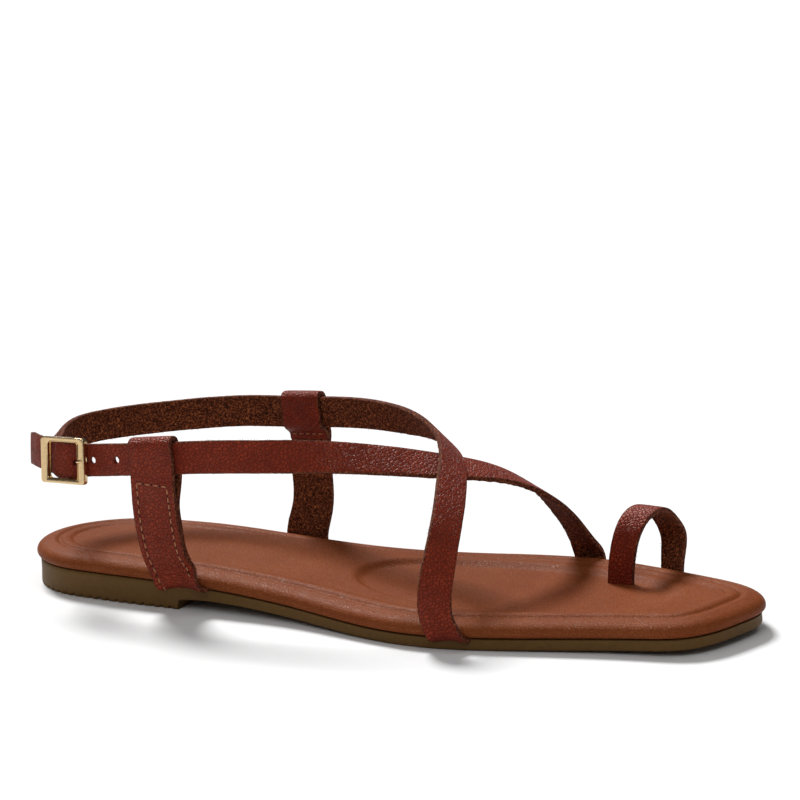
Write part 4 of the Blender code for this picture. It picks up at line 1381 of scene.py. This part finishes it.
def prong_path(place):
    """The prong loops round the bar, comes through the strap's hole and lies across the front bar."""
    bar = bar_middle(place)
    front = -place.ahead
    loop = BAR_RADIUS + FIT_GAP + PRONG_RADIUS
    path = []
    low = -PRONG_DROP * place.up
    for degrees in range(-20, -261, -30):
        a = math.radians(degrees)
        path.append(bar + low + loop * (front * math.cos(a) + place.outward * math.sin(a)))
    top = FIT_GAP + BUCKLE_THICK
    for along, out, drop in ((0.14, -0.3, 1.0), (0.27, 0.40, 0.5), (0.36, 0.90, 0.1), (0.43, 0.96, -0.2)):
        path.append(place.centre + low * drop + front * along * BUCKLE_LENGTH + place.outward * out * top)
    return path


class SANDAL_OT_buckle(SandalOperator, Operator):
    """The plated buckle: a flat frame with a round bar, and its prong."""

    bl_idname = "sandal.buckle"
    bl_label = "Buckle"

    def build(self, look, sizes):
        finish = plating_material(look)
        _, place, _ = under_strap_frames()
        base = place.centre + place.outward * FIT_GAP
        edge = 0.14 * BUCKLE_THICK
        high = BUCKLE_HEIGHT - 2 * BUCKLE_RAIL
        loops = []
        for full_x, full_y, sign in ((BUCKLE_LENGTH, BUCKLE_HEIGHT, 1), (BUCKLE_OPENING, high, -1)):
            turns = [math.radians(a) for a in (0, 30, 60, 90)[::sign]]
            lower = [(edge * (1 - math.sin(a)), edge * (1 - math.cos(a))) for a in turns]
            profile = lower + [(i, BUCKLE_THICK - r) for i, r in reversed(lower)]
            for inset, rise in profile[::sign]:
                loops.append((full_x - 2 * sign * inset, full_y - 2 * sign * inset, rise))
        rings = [
            [base + place.ahead * a + place.up * b + place.outward * rise for a, b in corners(x, y)]
            for x, y, rise in loops
        ]
        points = np.array(rings).reshape(-1, 3)
        plate = mesh_object("plate", points, tube_faces(len(rings), len(rings[0]), True), [finish], smooth=35)
        rail = (BUCKLE_HEIGHT - BUCKLE_RAIL) / 2
        bar = bar_middle(place)
        depth = (base + place.outward * 0.5 * BUCKLE_THICK - bar) @ place.outward
        bend = 1.1 * MM
        stops = [(0, depth), (0, bend)]
        for degrees in (22.5, 45, 67.5, 90):
            a = math.radians(degrees)
            stops.append((bend * (1 - math.cos(a)), bend * (1 - math.sin(a))))
        path = [bar + place.up * (rail - inset) + place.outward * rise for inset, rise in stops]
        path += [bar - place.up * (rail - inset) + place.outward * rise for inset, rise in stops[::-1]]
        bar_wire = wire_mesh("bar", path, BAR_RADIUS, place.ahead, [finish])
        body = merged("buckle_frame_plated", [plate, bar_wire])
        settle(body, "pale_gold_plating", "buckle_frame")
        rough = np.array(prong_path(place))
        run = chord(rough)
        path, _ = cubic(run, rough, np.linspace(0, run[-1], 60))
        prong = wire_mesh("buckle_prong_plated", path, PRONG_RADIUS, place.up, [finish])
        settle(prong, "pale_gold_plating", "buckle_prong")


class SANDAL_OT_stage(SandalOperator, Operator):
    """Paper sweep floor, soft studio lights and the photograph's camera."""

    bl_idname = "sandal.stage"
    bl_label = "Stage"

    def build(self, look, sizes):
        points = [(a * FLOOR_REACH, b * FLOOR_REACH, 0) for a, b in ((-1, -1), (1, -1), (1, 1), (-1, 1))]
        floor = mesh_object("studio_floor", points, [(0, 1, 2, 3)], [floor_material(look)])
        world = bpy.data.worlds.new("studio")
        bpy.context.scene.world = world
        world.use_nodes = True
        sky = world.node_tree.nodes["Background"]
        sky.inputs["Color"].default_value = (1.0, 1.0, 1.0, 1.0)
        # White where it is seen, dim round the sandal, and dimmer still in its gloss, as black flags make it
        path = add_node(world.node_tree, "ShaderNodeLightPath").outputs
        gloss = {"Value": path["Is Glossy Ray"], "To Min": SKY_ROUND, "To Max": SKY_IN_GLOSS}
        dim = add_node(world.node_tree, "ShaderNodeMapRange", None, gloss).outputs["Result"]
        seen = {0: path["Is Camera Ray"], 1: SKY_SEEN, 2: dim}
        strength = add_node(world.node_tree, "ShaderNodeMath", {"operation": "MULTIPLY_ADD"}, seen)
        world.node_tree.links.new(strength.outputs["Value"], sky.inputs["Strength"])
        middle = np.array((0.09, 0.0, 0.02))
        for light in LIGHTS:
            data = bpy.data.lights.new(light.name, "SUN")
            data.angle = math.radians(light.spread)
            data.energy = light.power
            back = unit(np.array(light.offset))
            right = unit(np.cross((0.0, 0.0, 1.0), back))
            axes = (right, np.cross(back, right), back)
            link_object(light.name, data).matrix_world = placed(middle + light.offset, *axes)
        data = bpy.data.cameras.new("photograph_camera")
        data.lens = CAMERA_LENS
        data.sensor_width = 36.0
        data.clip_start = 0.05
        camera = link_object("photograph_camera", data)
        camera.matrix_world = placed(CAMERA_PLACE, CAMERA_RIGHT, CAMERA_UP, CAMERA_BACK)
        bpy.context.scene.camera = camera
        bpy.context.scene.view_settings.view_transform = "Standard"


def placed(place, right, up, back):
    """An object's matrix from its place and its three axes."""
    rows = [(right[i], up[i], back[i], place[i]) for i in range(3)]
    return Matrix([tuple(map(float, row)) for row in rows] + [(0.0, 0.0, 0.0, 1.0)])


class SANDAL_PT_panel(Panel):
    """The sandal's operators and settings."""

    bl_idname = "SANDAL_PT_panel"
    bl_label = "Sandal"
    bl_space_type = "VIEW_3D"
    bl_region_type = "UI"
    bl_category = "Sandal"

    def draw(self, context):
        for operator in OPERATORS:
            self.layout.operator(operator.bl_idname)
        for group in (context.scene.sandal_look, context.scene.sandal_sizes):
            box = self.layout.box()
            for key in group.bl_rna.properties.keys():
                if key not in {"rna_type", "name"}:
                    box.prop(group, key)


OPERATORS = (
    SANDAL_OT_stage,
    SANDAL_OT_outsole,
    SANDAL_OT_footbed,
    SANDAL_OT_straps,
    SANDAL_OT_toe_loop,
    SANDAL_OT_keepers,
    SANDAL_OT_buckle,
)
CLASSES = (SandalLook, SandalSizes, *OPERATORS, SANDAL_PT_panel)


def register():
    for kind in CLASSES:
        bpy.utils.register_class(kind)
    bpy.types.Scene.sandal_look = PointerProperty(type=SandalLook)
    bpy.types.Scene.sandal_sizes = PointerProperty(type=SandalSizes)


def unregister():
    del bpy.types.Scene.sandal_sizes
    del bpy.types.Scene.sandal_look
    for kind in reversed(CLASSES):
        bpy.utils.unregister_class(kind)


def main():
    register()
    bpy.ops.sandal.stage()
    bpy.ops.sandal.outsole()
    bpy.ops.sandal.footbed()
    bpy.ops.sandal.straps()
    bpy.ops.sandal.toe_loop()
    bpy.ops.sandal.keepers()
    bpy.ops.sandal.buckle()
    bpy.context.view_layer.update()


if __name__ == "__main__":
    main()
